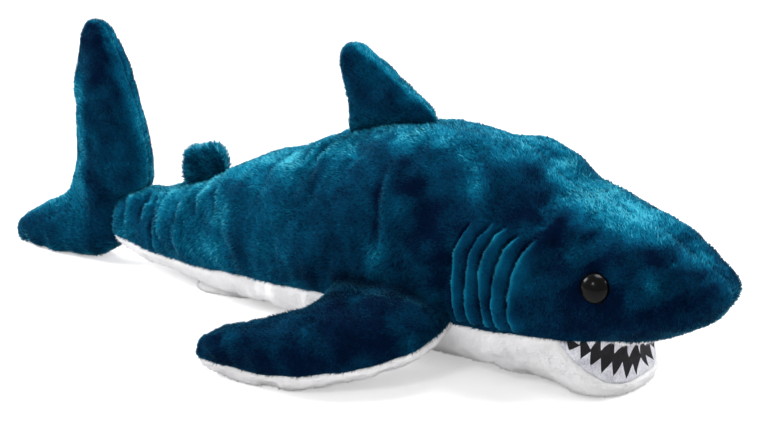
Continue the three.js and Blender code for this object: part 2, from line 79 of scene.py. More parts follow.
class Smooth:
    """A smooth curve through (place, value) pairs that doesn't swing past them."""

    def __init__(self, pairs: Sequence[tuple[float, float]]) -> None:
        """Works out the slope of the curve at each pair.

        Args:
            pairs: places in rising order, each with its value.
        """
        self.place = np.array([pair[0] for pair in pairs], float)
        self.value = np.array([pair[1] for pair in pairs], float)
        slope = np.diff(self.value) / np.diff(self.place)
        both = slope[:-1] * slope[1:]
        total = np.where(both > 0, slope[:-1] + slope[1:], 1)
        inner = np.where(both > 0, 2 * both / total, 0)
        self.tangent = np.concatenate([slope[:1], inner, slope[-1:]])

    def __call__(self, at: Array) -> Array:
        """The curve's values.

        Args:
            at: places along the curve; beyond its ends they take the end values.

        Returns:
            One value for each place.
        """
        at = np.clip(at, self.place[0], self.place[-1])
        i = np.clip(np.searchsorted(self.place, at, "right") - 1, 0, len(self.place) - 2)
        width = self.place[i + 1] - self.place[i]
        t = (at - self.place[i]) / width
        rise = self.value[i] * (1 + 2 * t) * (1 - t) ** 2 + self.value[i + 1] * t * t * (3 - 2 * t)
        bend = self.tangent[i] * t * (1 - t) ** 2 - self.tangent[i + 1] * t * t * (1 - t)
        return rise + width * bend


def curves(rows: Sequence[Sequence[float]]) -> list[Smooth]:
    """A smooth curve for each further column of a table, over its first one."""
    table = np.array(rows, float)
    return [Smooth(table[:, (0, column)]) for column in range(1, table.shape[1])]


class Waves:
    """A soft, seamless drift of values about 0, made of many long waves in all directions."""

    def __init__(self, seed: int, length: float, count: int = 24) -> None:
        """Draws the waves.

        Args:
            seed: the number that the draw starts from.
            length: typical length of a wave, in millimetres.
            count: how many waves are added up.
        """
        draw = np.random.default_rng(seed)
        heading = draw.normal(size=(count, 3))
        heading /= np.linalg.norm(heading, axis=1)[:, None]
        lengths = length * draw.uniform(0.7, 1.6, count)
        self.wave = heading * (2 * math.pi / lengths)[:, None]
        self.start = draw.uniform(0, 2 * math.pi, count)
        self.scale = math.sqrt(2 / count)

    def __call__(self, points: Array) -> Array:
        """The drift at each point, mostly between -2 and 2."""
        return np.sin(points @ self.wave.T + self.start).sum(1) * self.scale


def bow(share: Array, power: float) -> Array:
    """How far a rounded end has drawn in at a share of its length, from 1 to 0."""
    return (1 - np.clip(np.abs(share), 0, 1) ** power) ** (1 / power)


def rounded(share: Array, power: Array | float) -> Array:
    """A circle's coordinate as the same coordinate on a squarer or rounder section."""
    return np.sign(share) * np.abs(share) ** (2 / np.asarray(power))


def lesser(a: Array, b: Array, sharp: float = 4) -> Array:
    """The lesser of two positive numbers, with a soft change from one to the other."""
    a, b = np.maximum(a, 1e-6), np.maximum(b, 1e-6)
    return (a**-sharp + b**-sharp) ** (-1 / sharp)


def eased(share: Array) -> Array:
    """A smooth step from 0 to 1."""
    share = np.clip(share, 0, 1)
    return share * share * (3 - 2 * share)


def beside(points: Array, line: Array) -> tuple[Array, Array, Array]:
    """Where points lie against a line of straight stretches.

    Args:
        points: the points, one a row.
        line: the line's corners, one a row.

    Returns:
        The offset of each point from its nearest place on the line, the line's direction
        there, and how far along the line that is, from 0 to 1.
    """
    start, step = line[:-1], np.diff(line, axis=0)
    length = np.linalg.norm(step, axis=1)
    before = np.concatenate([[0], np.cumsum(length)[:-1]])
    away = points[:, None, :] - start[None]
    t = np.clip((away * step[None]).sum(2) / (length**2)[None], 0, 1)
    offset = away - t[:, :, None] * step[None]
    nearest = np.argmin((offset**2).sum(2), axis=1)
    rows = np.arange(len(points))
    along = (before[nearest] + t[rows, nearest] * length[nearest]) / length.sum()
    return offset[rows, nearest], (step / length[:, None])[nearest], along


def signed_from(points: Array, line: Sequence[tuple[float, float]]) -> Array:
    """Distance of flat points from a line, positive on its left as it runs."""
    corners = np.array(line, float)
    offset, heading, _ = beside(points, corners)
    turn = heading[:, 0] * offset[:, 1] - heading[:, 1] * offset[:, 0]
    return np.sign(turn) * np.linalg.norm(offset, axis=1)


# Meshes


def rows_of(data: bpy.types.bpy_prop_collection, key: str) -> Array:
    """A vector that each element of a mesh holds, one a row."""
    flat = np.empty(len(data) * 3)
    data.foreach_get(key, flat)
    return flat.reshape(-1, 3)


def coords_of(mesh: Mesh) -> Array:
    """A mesh's points in millimetres, one a row."""
    return rows_of(mesh.vertices, "co") / MM


def set_coords(mesh: Mesh, points: Array) -> None:
    """Moves a mesh's points to places in millimetres."""
    mesh.vertices.foreach_set("co", (points * MM).ravel())
    mesh.update()


def normals_of(mesh: Mesh) -> Array:
    """The directions that a mesh's points face in, one a row."""
    return rows_of(mesh.vertex_normals, "vector")


def push_out(mesh: Mesh, heights: Array) -> None:
    """Moves a mesh's points along the directions that they face in, by heights in millimetres."""
    set_coords(mesh, coords_of(mesh) + normals_of(mesh) * heights[:, None])


def read(mesh: Mesh, name: str) -> Array:
    """A number that a mesh holds at each point."""
    values = np.empty(len(mesh.vertices))
    mesh.attributes[name].data.foreach_get("value", values)
    return values


def write(mesh: Mesh, name: str, values: Array) -> None:
    """Keeps a number, or a direction, at each point of a mesh.

    Args:
        mesh: the mesh.
        name: what the number is called.
        values: one number or three for each point.
    """
    kind, key = ("FLOAT", "value") if values.ndim == 1 else ("FLOAT_VECTOR", "vector")
    held = mesh.attributes.get(name) or mesh.attributes.new(name, kind, "POINT")
    held.data.foreach_set(key, values.astype(np.float32).ravel())


def new_object(name: str, source: BMesh) -> Piece:
    """An object at the origin from an edited mesh, which is used up.

    Args:
        name: the piece's name.
        source: the edited mesh, in metres.

    Returns:
        The object, in the scene.
    """
    mesh = bpy.data.meshes.new(name)
    source.to_mesh(mesh)
    source.free()
    made = bpy.data.objects.new(name, mesh)
    bpy.context.scene.collection.objects.link(made)
    return made


def apply_modifiers(piece: Piece) -> None:
    """Makes a piece's live modifiers part of its mesh."""
    graph = bpy.context.evaluated_depsgraph_get()
    graph.update()
    live = piece.evaluated_get(graph)
    made = bpy.data.meshes.new_from_object(live, preserve_all_data_layers=True, depsgraph=graph)
    old = piece.data
    piece.modifiers.clear()
    piece.data = made
    made.name = piece.name
    bpy.data.meshes.remove(old)


def remove(piece: Piece) -> None:
    """Deletes a helper object and its mesh."""
    mesh = piece.data
    bpy.data.objects.remove(piece)
    bpy.data.meshes.remove(mesh)


def press(piece: Piece, floor: float) -> None:
    """Flattens a piece where it would reach below a height."""
    points = coords_of(piece.data)
    points[:, 2] = np.maximum(points[:, 2], floor)
    set_coords(piece.data, points)


def write_map(mesh: Mesh, name: str, flat: Array) -> None:
    """Keeps a flat map of a mesh, with one place for each of its points."""
    corner = np.empty(len(mesh.loops), int)
    mesh.loops.foreach_get("vertex_index", corner)
    chart = mesh.uv_layers.new(name=name)
    chart.data.foreach_set("uv", flat[corner].astype(np.float32).ravel())


def wear(piece: Piece, material: Material) -> None:
    """Gives a piece one material in place of any that it has."""
    piece.data.materials.clear()
    piece.data.materials.append(material)


@contextmanager
def edited(mesh: Mesh) -> Iterator[BMesh]:
    """A mesh opened for editing, and written back at the end."""
    bm = bmesh.new()
    bm.from_mesh(mesh)
    yield bm
    bm.to_mesh(mesh)
    bm.free()


def points_of(bm: BMesh) -> Array:
    """An edited mesh's points in millimetres, one a row."""
    return np.array([vert.co[:] for vert in bm.verts]) / MM


def unit_tube(sides: int, rings: int) -> BMesh:
    """A capped tube of radius 1 and length 1 along z, with evenly spaced rings."""
    bm = bmesh.new()
    bmesh.ops.create_cone(bm, cap_ends=True, segments=sides, radius1=1, radius2=1, depth=1)
    upright = [e for e in bm.edges if abs(e.verts[0].co.z - e.verts[1].co.z) > 0.5]
    bmesh.ops.subdivide_edges(bm, edges=upright, cuts=rings - 2, use_grid_fill=True)
    return bm


def lofted(sides: int, rings: int, place: Callable[..., Array]) -> BMesh:
    """A closed form whose rings are a tube's, each put in its place.

    Args:
        sides: corners of each ring.
        rings: how many rings there are.
        place: gives the points in millimetres for a circle's two coordinates and a ring.

    Returns:
        The form, in metres.
    """
    bm = unit_tube(sides, rings)
    unit = np.array([vert.co[:] for vert in bm.verts])
    ring = np.rint((unit[:, 2] + 0.5) * (rings - 1)).astype(int)
    placed = place(unit[:, 0], unit[:, 1], ring) * MM
    for vert, point in zip(bm.verts, placed):
        vert.co = point
    bmesh.ops.recalc_face_normals(bm, faces=bm.faces)
    return bm


def joined(parts: Sequence[BMesh]) -> BMesh:
    """Several edited meshes as one; the others are used up."""
    whole = parts[0]
    for part in parts[1:]:
        mesh = bpy.data.meshes.new("part")
        part.to_mesh(mesh)
        part.free()
        whole.from_mesh(mesh)
        bpy.data.meshes.remove(mesh)
    return whole


def remesh(piece: Piece, pitch: float, smooth: int) -> None:
    """Fuses a closed form's parts into one even skin.

    Args:
        piece: the form.
        pitch: size of its new faces, in millimetres.
        smooth: how many times its steps are smoothed out.
    """
    fused = piece.modifiers.new("Fused", "REMESH")
    fused.mode = "VOXEL"
    fused.voxel_size = pitch * MM
    even = piece.modifiers.new("Even", "SMOOTH")
    even.factor = 0.5
    even.iterations = smooth
    apply_modifiers(piece)


def subdivide(piece: Piece) -> None:
    """Halves the faces of a piece on a smooth surface."""
    finer = piece.modifiers.new("Finer", "SUBSURF")
    finer.levels = finer.render_levels = 1
    apply_modifiers(piece)


def cut_along(bm: BMesh, field: Field) -> None:
    """Adds edges where a field over the surface is zero.

    Args:
        bm: the edited mesh, in metres.
        field: gives a number for each point in millimetres.
    """
    on_line = 0.02
    values = field(points_of(bm))
    values[np.abs(values) < on_line] = on_line
    bm.verts.index_update()
    added = []
    for edge in list(bm.edges):
        a, b = edge.verts
        low, high = values[a.index], values[b.index]
        if low * high < 0:
            added.append(bmesh.utils.edge_split(edge, a, low / (low - high))[1])
    bmesh.ops.connect_verts(bm, verts=added)


def part_of(piece: Piece, name: str, keep: Field) -> Piece:
    """A new object of the faces of a piece where a field is positive."""
    bm = bmesh.new()
    bm.from_mesh(piece.data)
    middles = np.array([face.calc_center_median()[:] for face in bm.faces]) / MM
    spare = [face for face, kept in zip(bm.faces, keep(middles) > 0) if not kept]
    bmesh.ops.delete(bm, geom=spare, context="FACES")
    return new_object(name, bm)


def thicken(piece: Piece, thick: float) -> None:
    """Gives a panel's outside the thickness of its cloth, inwards, with closed edges."""
    cloth = piece.modifiers.new("Cloth thickness", "SOLIDIFY")
    cloth.thickness = thick * MM
    cloth.offset = -1
    cloth.use_rim = True
    apply_modifiers(piece)
    piece.data.shade_smooth()


# Sewing: panels, tucks and creases


@dataclass(frozen=True)
class Tuck:
    """A raised line in the plush, sharp on its rear side and soft on its front side."""

    path: tuple[tuple[float, float, float], ...]
    rise: float = 5.0
    front: float = 4.6
    rear: float = 1.4
    groove: float = 3.2
    ends: float = 0.14
    last: float = 0.05

    # How far it reaches ahead, and the place and width of the groove behind it, as shares
    REACH, GROOVE_AT, GROOVE_WIDTH = 3.2, 2.2, 1.3

    def reach(self) -> float:
        """How far from the line the plush still moves."""
        return self.front * self.REACH

    def lift(self, points: Array, normals: Array, side: int) -> Array:
        """How far each point is lifted off the surface.

        Args:
            points: places on the surface, in millimetres.
            normals: the directions that they face in.
            side: -1 for the right flank, where the path is given, or 1 for the left.

        Returns:
            One height for each point, in millimetres.
        """
        line = np.array(self.path, float) * (1, -side, 1)
        lift = np.zeros(len(points))
        near = self.near(points, line)
        if not near.any():
            return lift
        offset, heading, along = beside(points[near], line)
        across = np.cross(heading, normals[near])
        aside = (across * offset).sum(1) * side
        far = np.linalg.norm(offset, axis=1)
        aside = np.sign(aside) * far
        ahead = self.rise * np.exp(-np.maximum(aside, 0) / self.front)
        behind = self.rise * np.exp(-((np.minimum(aside, 0) / self.rear) ** 2))
        into = (aside + self.GROOVE_AT * self.rear) / (self.GROOVE_WIDTH * self.rear)
        dip = self.groove * np.exp(-(into**2))
        shape = np.where(aside > 0, ahead, behind) - dip
        fade = eased(along / self.ends) * eased((1 - along) / self.last)
        lift[near] = shape * fade * eased((self.reach() - far) / self.front)
        return lift

    def near(self, points: Array, line: Array) -> Array:
        """Which points lie close enough to the line to be worth measuring."""
        reach = self.reach()
        return np.all((points > line.min(0) - reach) & (points < line.max(0) + reach), axis=1)


GILLS = (
    Tuck(((150, -74, 154), (141, -82, 138), (136, -86, 124), (136, -89, 103),
          (137, -89, 80), (138, -86, 57))),
    Tuck(((170, -72, 154), (158, -80, 140), (152, -85, 126), (150, -89, 107),
          (149, -89, 90), (153, -85, 57))),
    Tuck(((183, -71, 152), (174, -78, 143), (167, -83, 130), (163, -88, 112),
          (162, -88, 93), (168, -83, 58))),
    Tuck(((195, -71, 148), (184, -80, 134), (179, -85, 118), (176, -87, 99),
          (176, -87, 80), (180, -82, 58))),
    Tuck(((210, -69, 147), (200, -79, 131), (194, -84, 115), (191, -86, 94),
          (192, -84, 75), (194, -81, 59))),
)

# Patches of brushed nap with painted sheen highlights, and of deep nap with painted shade: a place on the
# right flank, a radius and a change of tone
BRUSHED = (
    ((142, -60, 175), 12, 0.34), ((100, -52, 187), 10, 0.20), ((61, -40, 195), 11, 0.12),
    ((29, -18, 199), 14, 0.10), ((70, -52, 180), 20, -0.13), ((1, -30, 188), 17, 0.14),
    ((-7, -54, 169), 13, 0.14), ((-22, -40, 175), 13, 0.14), ((-62, -40, 160), 20, 0.20),
    ((-73, -47, 149), 14, 0.12), ((-139, -58, 97), 15, 0.28), ((-148, -61, 60), 15, 0.30),
    ((-182, -27, 108), 11, 0.20), ((-77, -75, 85), 13, 0.16), ((-124, -25, 140), 11, 0.10),
    ((51, -88, 112), 12, 0.18), ((54, -82, 141), 8, 0.12), ((44, -67, 168), 8, 0.12),
    ((-45, -80, 88), 14, 0.08), ((151, -4, 200), 17, 0.16), ((146, -30, 195), 13, 0.12),
    ((191, -3, 191), 16, 0.26), ((228, 2, 178), 18, 0.30), ((230, -27, 173), 12, 0.22),
    ((255, -9, 168), 16, 0.26), ((275, -11, 161), 14, 0.22), ((298, 2, 153), 13, 0.16),
    ((327, 2, 138), 12, 0.18), ((362, -3, 111), 10, 0.22), ((312, -51, 120), 8, 0.36),
    ((105, -79, 150), 26, -0.10), ((91, -88, 118), 22, -0.08), ((-117, -50, 124), 9, -0.16),
    ((-115, -66, 94), 9, -0.18), ((-113, -69, 71), 8, -0.16), ((-15, -74, 135), 14, -0.05),
    ((221, -54, 161), 20, -0.14), ((259, -50, 149), 20, -0.14), ((272, -70, 95), 29, -0.12),
    ((340, -38, 108), 23, -0.12), ((310, -52, 84), 21, -0.15), ((192, -62, 162), 17, -0.08),
    ((266, -72, 113), 17, -0.10),
)

# Folds where the stuffed plush creases behind the fins and along the thin tail
FOLDS = (
    Tuck(((-249, -4, 91), (-242, -25, 84),
          (-235, -37, 70), (-232, -41, 52), (-228, -41, 37)), 4.8, 5, 3.4, 3.2, 0.2, 0.1),
    Tuck(((-236, 0, 96), (-230, -20, 92),
          (-229, -32, 82), (-225, -41, 68), (-218, -45, 52)), 5.6, 6, 3.4, 3.6, 0.2, 0.2),
    Tuck(((-258, -9, 88), (-254, -20, 82),
          (-256, -28, 72), (-252, -35, 58)), 4.0, 4.5, 3.2, 2.8, 0.25, 0.25),
    Tuck(((-170, -5, 121), (-177, -28, 110),
          (-177, -40, 100), (-173, -49, 84)), 5.2, 7, 3.8, 3.2, 0.3, 0.3),
    Tuck(((-151, -8, 131), (-151, -30, 123),
          (-146, -47, 111), (-142, -56, 95)), 5.4, 8, 3.8, 3.4, 0.3, 0.3),
    Tuck(((-196, -8, 113), (-203, -26, 100), (-203, -38, 88), (-197, -47, 70)), 4.2, 6, 3.6, 2.8, 0.3, 0.3),
    Tuck(((-286, -8, 80), (-278, -25, 70), (-277, -29, 50)), 3.8, 5, 3.2, 2.6, 0.25, 0.25),
    Tuck(((-202, -45, 76), (-196, -50, 61), (-189, -51, 47)), 2.4, 6, 4, 1.6, 0.3, 0.3),
    Tuck(((-34, -12, 182), (-33, -42, 170), (-40, -55, 155)), 3.6, 9, 4.4, 2.4, 0.3, 0.4),
    Tuck(((-51, -12, 175), (-52, -40, 164), (-60, -53, 148)), 3.8, 9, 4.4, 2.6, 0.3, 0.4),
    Tuck(((-76, -10, 165), (-80, -38, 152), (-88, -53, 132)), 3.2, 9, 5, 2.0, 0.3, 0.4),
    Tuck(((53, -50, 185), (56, -70, 165), (59, -80, 146), (64, -90, 105)), 2.6, 12, 4, 1.8, 0.3, 0.3),
)


class Cloth:
    """Cloth simulation settings for swelling a sewn form with its filling."""

    PRESSURE = 4.0
    FRAMES = 20
    SLACK = -0.03
    STEPS = 4

    @classmethod
    def swell(cls, piece: Piece, held: Array, cap: float) -> None:
        """Swells a form and lets its cloth crease at the seams that hold it.

        Args:
            piece: the form, without modifiers.
            held: how firmly each point is held, from 0 to 1.
            cap: how far a point may move, in millimetres.
        """
        seams = piece.vertex_groups.new(name="seams")
        for step in range(1, cls.STEPS + 1):
            firm = np.nonzero(np.ceil(held * cls.STEPS) == step)[0]
            seams.add(firm.tolist(), step / cls.STEPS, "REPLACE")
        cloth = piece.modifiers.new("Cloth", "CLOTH")
        settings = cloth.settings
        settings.vertex_group_mass = "seams"
        settings.use_pressure = True
        settings.uniform_pressure_force = cls.PRESSURE
        settings.effector_weights.gravity = 0
        settings.shrink_min = cls.SLACK
        cloth.point_cache.frame_start = 1
        cloth.point_cache.frame_end = cls.FRAMES
        for at in range(1, cls.FRAMES + 1):
            bpy.context.scene.frame_set(at)
        graph = bpy.context.evaluated_depsgraph_get()
        swollen = coords_of(piece.evaluated_get(graph).data)
        piece.modifiers.remove(cloth)
        piece.vertex_groups.clear()
        bpy.context.scene.frame_set(1)
        rest = coords_of(piece.data)
        move = swollen - rest
        far = np.linalg.norm(move, axis=1)
        kept = np.minimum(far, cap) / np.maximum(far, 1e-6)
        set_coords(piece.data, rest + move * kept[:, None])


# How far from its sewn edge a panel bends, in millimetres
ROLL_REACH = 4.5


def rolled_in(mesh: Mesh, depth: float) -> None:
    """Turns a panel's sewn edges inwards, as a seam draws them.

    Args:
        mesh: the panel, an open surface.
        depth: how far its edge goes in, in millimetres.
    """
    bm = bmesh.new()
    bm.from_mesh(mesh)
    edge = [vert.index for vert in bm.verts if vert.is_boundary]
    bm.free()
    if not edge:
        return
    points = coords_of(mesh)
    tree = kdtree.KDTree(len(edge))
    for index in edge:
        tree.insert(points[index], index)
    tree.balance()
    far = np.array([tree.find(point)[2] for point in points])
    share = np.clip(1 - far / ROLL_REACH, 0, 1) ** 2
    push_out(mesh, -share * depth)


@dataclass(frozen=True)
class Panel:
    """One sewn panel of a form: its name, its part of the surface and what it stands for."""

    name: str
    where: Field
    stands_for: str
    plush: "Plush"
    pile_name: str | None = None
    thick: float = 2.0
    roll: float = 1.6

    def cut_from(self, form: Piece) -> Piece:
        """The part of a form that the panel covers, as an open surface with rolled-in edges."""
        made = part_of(form, self.name, self.where)
        rolled_in(made.data, self.roll)
        return made

    def finish(self, piece: Piece, material: Material, slot: str,
               attach: Attach, fill: float) -> None:
        """Gives the panel its thickness, its cloth and its place in the frame.

        Args:
            piece: the panel's outside.
            material: its cloth.
            slot: its material slot in the record; not used.
            attach: ties a piece to the body or bodies that it moves with.
            fill: how full the form behind it is stuffed; not used.
        """
        thicken(piece, self.thick)
        wear(piece, material)
        attach(piece)
        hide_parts(self.stands_for)
        log.info("%s: %d faces", piece.name, len(piece.data.polygons))


# Finishes


class Shade(Enum):
    """The colours of the cloths by tone, from the deep nap and painted shade to the brushed tips and painted
    highlights.
    """

    BLUE = ((0.0004, 0.006, 0.026), (0.0006, 0.055, 0.118), (0.003, 0.168, 0.278), (0.065, 0.46, 0.60))
    WHITE = ((0.62, 0.60, 0.61), (0.74, 0.725, 0.735), (0.84, 0.83, 0.835), (0.93, 0.92, 0.925))


STOPS = (0.0, 0.38, 0.72, 1.0)


class Nodes:
    """Adds nodes to a tree. An input that is given as a socket is linked, and any other is set."""

    def __init__(self, tree: NodeTree) -> None:
        """Keeps the tree."""
        self.tree = tree

    def feed(self, node: Node, inputs: dict[str | int, object]) -> None:
        """Sets or links a node's inputs, by name or by place."""
        for name, value in inputs.items():
            if isinstance(value, Socket):
                self.tree.links.new(value, node.inputs[name])
            else:
                node.inputs[name].default_value = value

    def add(self, kind: str, inputs: dict[str | int, object] | None = None,
            **settings: object) -> Node:
        """Adds one node.

        Args:
            kind: the node's type.
            inputs: values or sockets for its inputs.
            settings: its other properties, which are set first.

        Returns:
            The node.
        """
        node = self.tree.nodes.new(kind)
        for name, value in settings.items():
            setattr(node, name, value)
        self.feed(node, inputs or {})
        return node

    def math(self, how: str, *values: Socket | float) -> Socket:
        """One value worked out from others."""
        return self.add("ShaderNodeMath", dict(enumerate(values)), operation=how).outputs["Value"]

    def noise(self, place: Socket, scale: Socket | float, **inputs: float) -> Socket:
        """Soft noise between 0 and 1."""
        return self.add("ShaderNodeTexNoise", {"Vector": place, "Scale": scale, **inputs}).outputs["Fac"]

    def object_place(self) -> Socket:
        """Places in the piece's own coordinates."""
        return self.add("ShaderNodeTexCoord").outputs["Object"]

    def spread(self, value: Socket, low: float, high: float) -> Socket:
        """A value from 0 to 1 as one between two limits."""
        inputs = {"Value": value, "To Min": low, "To Max": high}
        return self.add("ShaderNodeMapRange", inputs).outputs["Result"]

    def ramp(self, share: Socket, colours: Sequence[tuple[float, float, float]],
             stops: Sequence[float]) -> Socket:
        """A colour ramp with these colours at these stops."""
        ramp = self.add("ShaderNodeValToRGB", {"Fac": share})
        elements = ramp.color_ramp.elements
        while len(elements) < len(colours):
            elements.new(0.5)
        for element, colour, stop in zip(elements, colours, stops):
            element.position = stop
            element.color = (*colour, 1)
        return ramp.outputs["Color"]

    def mixed(self, share: Socket | float, a: Socket, b: Socket, blend: str = "MIX") -> Socket:
        """One colour from two."""
        inputs = {"Factor": share, "A": a, "B": b}
        return self.add("ShaderNodeMix", inputs, data_type="RGBA", blend_type=blend).outputs["Result"]

    def nap(self, grain: float) -> tuple[Socket, Callable[[float, float], Socket]]:
        """The mottle of a cloth's fibres, and what gives its relief by strength and distance."""
        group = self.add("ShaderNodeGroup", {"Grain": grain}, node_tree=nap_group())

        def relief(strength: float, distance: float) -> Socket:
            inputs = {"Height": group.outputs["Height"], "Strength": strength, "Distance": distance}
            return self.add("ShaderNodeBump", inputs).outputs["Normal"]

        return group.outputs["Mottle"], relief

    def held(self, name: str, kind: str = "FLOAT") -> Socket:
        """The values that the surface holds under a name."""
        node = self.add("GeometryNodeInputNamedAttribute", {"Name": name}, data_type=kind)
        return node.outputs["Attribute"]

    def kept(self, shape: Socket, name: str, value: Socket, kind: str = "FLOAT") -> Socket:
        """A shape that also holds a value under a name."""
        inputs = {"Name": name, "Geometry": shape, "Value": value}
        node = self.add("GeometryNodeStoreNamedAttribute", inputs, data_type=kind, domain="POINT")
        return node.outputs["Geometry"]

    def scaled(self, vector: Socket, size: float) -> Socket:
        """A direction made longer or shorter."""
        inputs = {0: vector, "Scale": size}
        return self.add("ShaderNodeVectorMath", inputs, operation="SCALE").outputs["Vector"]

    def added(self, a: Socket, b: Socket) -> Socket:
        """Two directions added."""
        return self.add("ShaderNodeVectorMath", {0: a, 1: b}).outputs["Vector"]

    def random(self, low: float, high: float, seed: int) -> Socket:
        """A random number for each fibre."""
        node = self.add("FunctionNodeRandomValue", data_type="FLOAT")
        by_name = {socket.name: socket for socket in node.inputs if socket.enabled}
        for name, value in (("Min", low), ("Max", high), ("Seed", seed)):
            by_name[name].default_value = value
        return next(socket for socket in node.outputs if socket.enabled)


def blank_material(name: str) -> tuple[Material, Nodes, Node]:
    """A new material with its nodes and its surface shader."""
    material = bpy.data.materials.new(name)
    material.use_nodes = True
    material.node_tree.nodes.clear()
    nodes = Nodes(material.node_tree)
    surface = nodes.add("ShaderNodeBsdfPrincipled")
    nodes.add("ShaderNodeOutputMaterial", {"Surface": surface.outputs["BSDF"]})
    return material, nodes, surface


@cache
def nap_group() -> NodeTree:
    """The mottle of brushed fibres: fine streaks and their height, on Object coordinates."""
    group = bpy.data.node_groups.new("Nap", "ShaderNodeTree")
    new_socket = group.interface.new_socket
    new_socket("Grain", in_out="INPUT", socket_type="NodeSocketFloat").default_value = 900
    new_socket("Mottle", in_out="OUTPUT", socket_type="NodeSocketFloat")
    new_socket("Height", in_out="OUTPUT", socket_type="NodeSocketFloat")
    nodes = Nodes(group)
    place = nodes.object_place()
    combed = nodes.add("ShaderNodeMapping", {"Vector": place, "Scale": (0.45, 1, 0.75)}).outputs["Vector"]
    grain = nodes.add("NodeGroupInput").outputs["Grain"]
    fine = nodes.noise(combed, grain, Detail=3, Roughness=0.65)
    broad = nodes.noise(place, 120, Detail=2)
    mottle = nodes.add("ShaderNodeMix", {"Factor": 0.35, "A": fine, "B": broad}).outputs["Result"]
    nodes.add("NodeGroupOutput", {"Mottle": mottle, "Height": fine})
    return group


@dataclass(frozen=True)
class Plush:
    """A plush cloth: its colours, its pile and the material slot of the record."""

    name: str
    shade: Shade
    slot: str
    length: float = 3.7
    density: float = 0.755
    width: float = 0.44
    lean: float = 0.57
    grain: float = 900
    relief: tuple[float, float] = (0.9, 0.0008)
    # Painted shade at the fibres' roots and painted light at their tips, as factors on their colour
    root_shade: float = 0.5
    tip_shade: float = 1.15
    varied: float = 0.22
    clumps: float = 0.9
    sheen: float = 0.5
    sheen_tint: tuple[float, float, float] = (0.12, 0.62, 0.85)

    MOTTLE = 0.5

    @cache
    def backing(self) -> Material:
        """The cloth under and between the fibres, with shade painted in the hollows of its nap, and the nap's
        painted light and shade carried by its tone.
        """
        material, nodes, surface = blank_material(f"{self.name}_cloth")
        mottle, relief = nodes.nap(self.grain)
        tone = nodes.add("ShaderNodeAttribute", attribute_name="tone").outputs["Fac"]
        mottled = nodes.math("MULTIPLY_ADD", mottle, self.MOTTLE, tone)
        share = nodes.math("SUBTRACT", mottled, self.MOTTLE / 2)
        colour = nodes.ramp(share, self.shade.value, STOPS)
        nodes.feed(surface, {"Base Color": colour, "Normal": relief(*self.relief), **self.softness()})
        return material

    def softness(self) -> dict[str, object]:
        """The matt surface and the faint sheen of soft fibres."""
        return {
            "Roughness": 0.9, "Specular IOR Level": 0.02, "Sheen Weight": self.sheen,
            "Sheen Roughness": 0.3, "Sheen Tint": (*self.sheen_tint, 1),
        }

    @cache
    def fibre(self) -> Material:
        """The fibres, with one tone for each on its map, and shade painted at their roots and light painted
        at their tips.
        """
        material, nodes, surface = blank_material(f"{self.name}_pile")
        chart = nodes.add("ShaderNodeUVMap", uv_map="OFBake").outputs["UV"]
        parts = nodes.add("ShaderNodeSeparateXYZ", {"Vector": chart}).outputs
        tone = nodes.ramp(parts["X"], self.shade.value, STOPS)
        shade = nodes.spread(parts["Y"], self.root_shade, self.tip_shade)
        colour = nodes.mixed(1, tone, shade, "MULTIPLY")
        nodes.feed(surface, {"Base Color": colour, **self.softness()})
        return material


BLUE_PLUSH = Plush("blue_plush", Shade.BLUE, "blue_plush")
WHITE_PLUSH = Plush("white_plush", Shade.WHITE, "white_plush", length=3.2, density=0.33, width=0.5,
                    root_shade=0.94, tip_shade=1.03, varied=0.05, clumps=0.1, sheen=0.1, sheen_tint=(1, 1, 1))
SHAGGY_BLUE = Plush("long_blue_plush", Shade.BLUE, "blue_plush", length=7.5, density=1.3, lean=0.4)


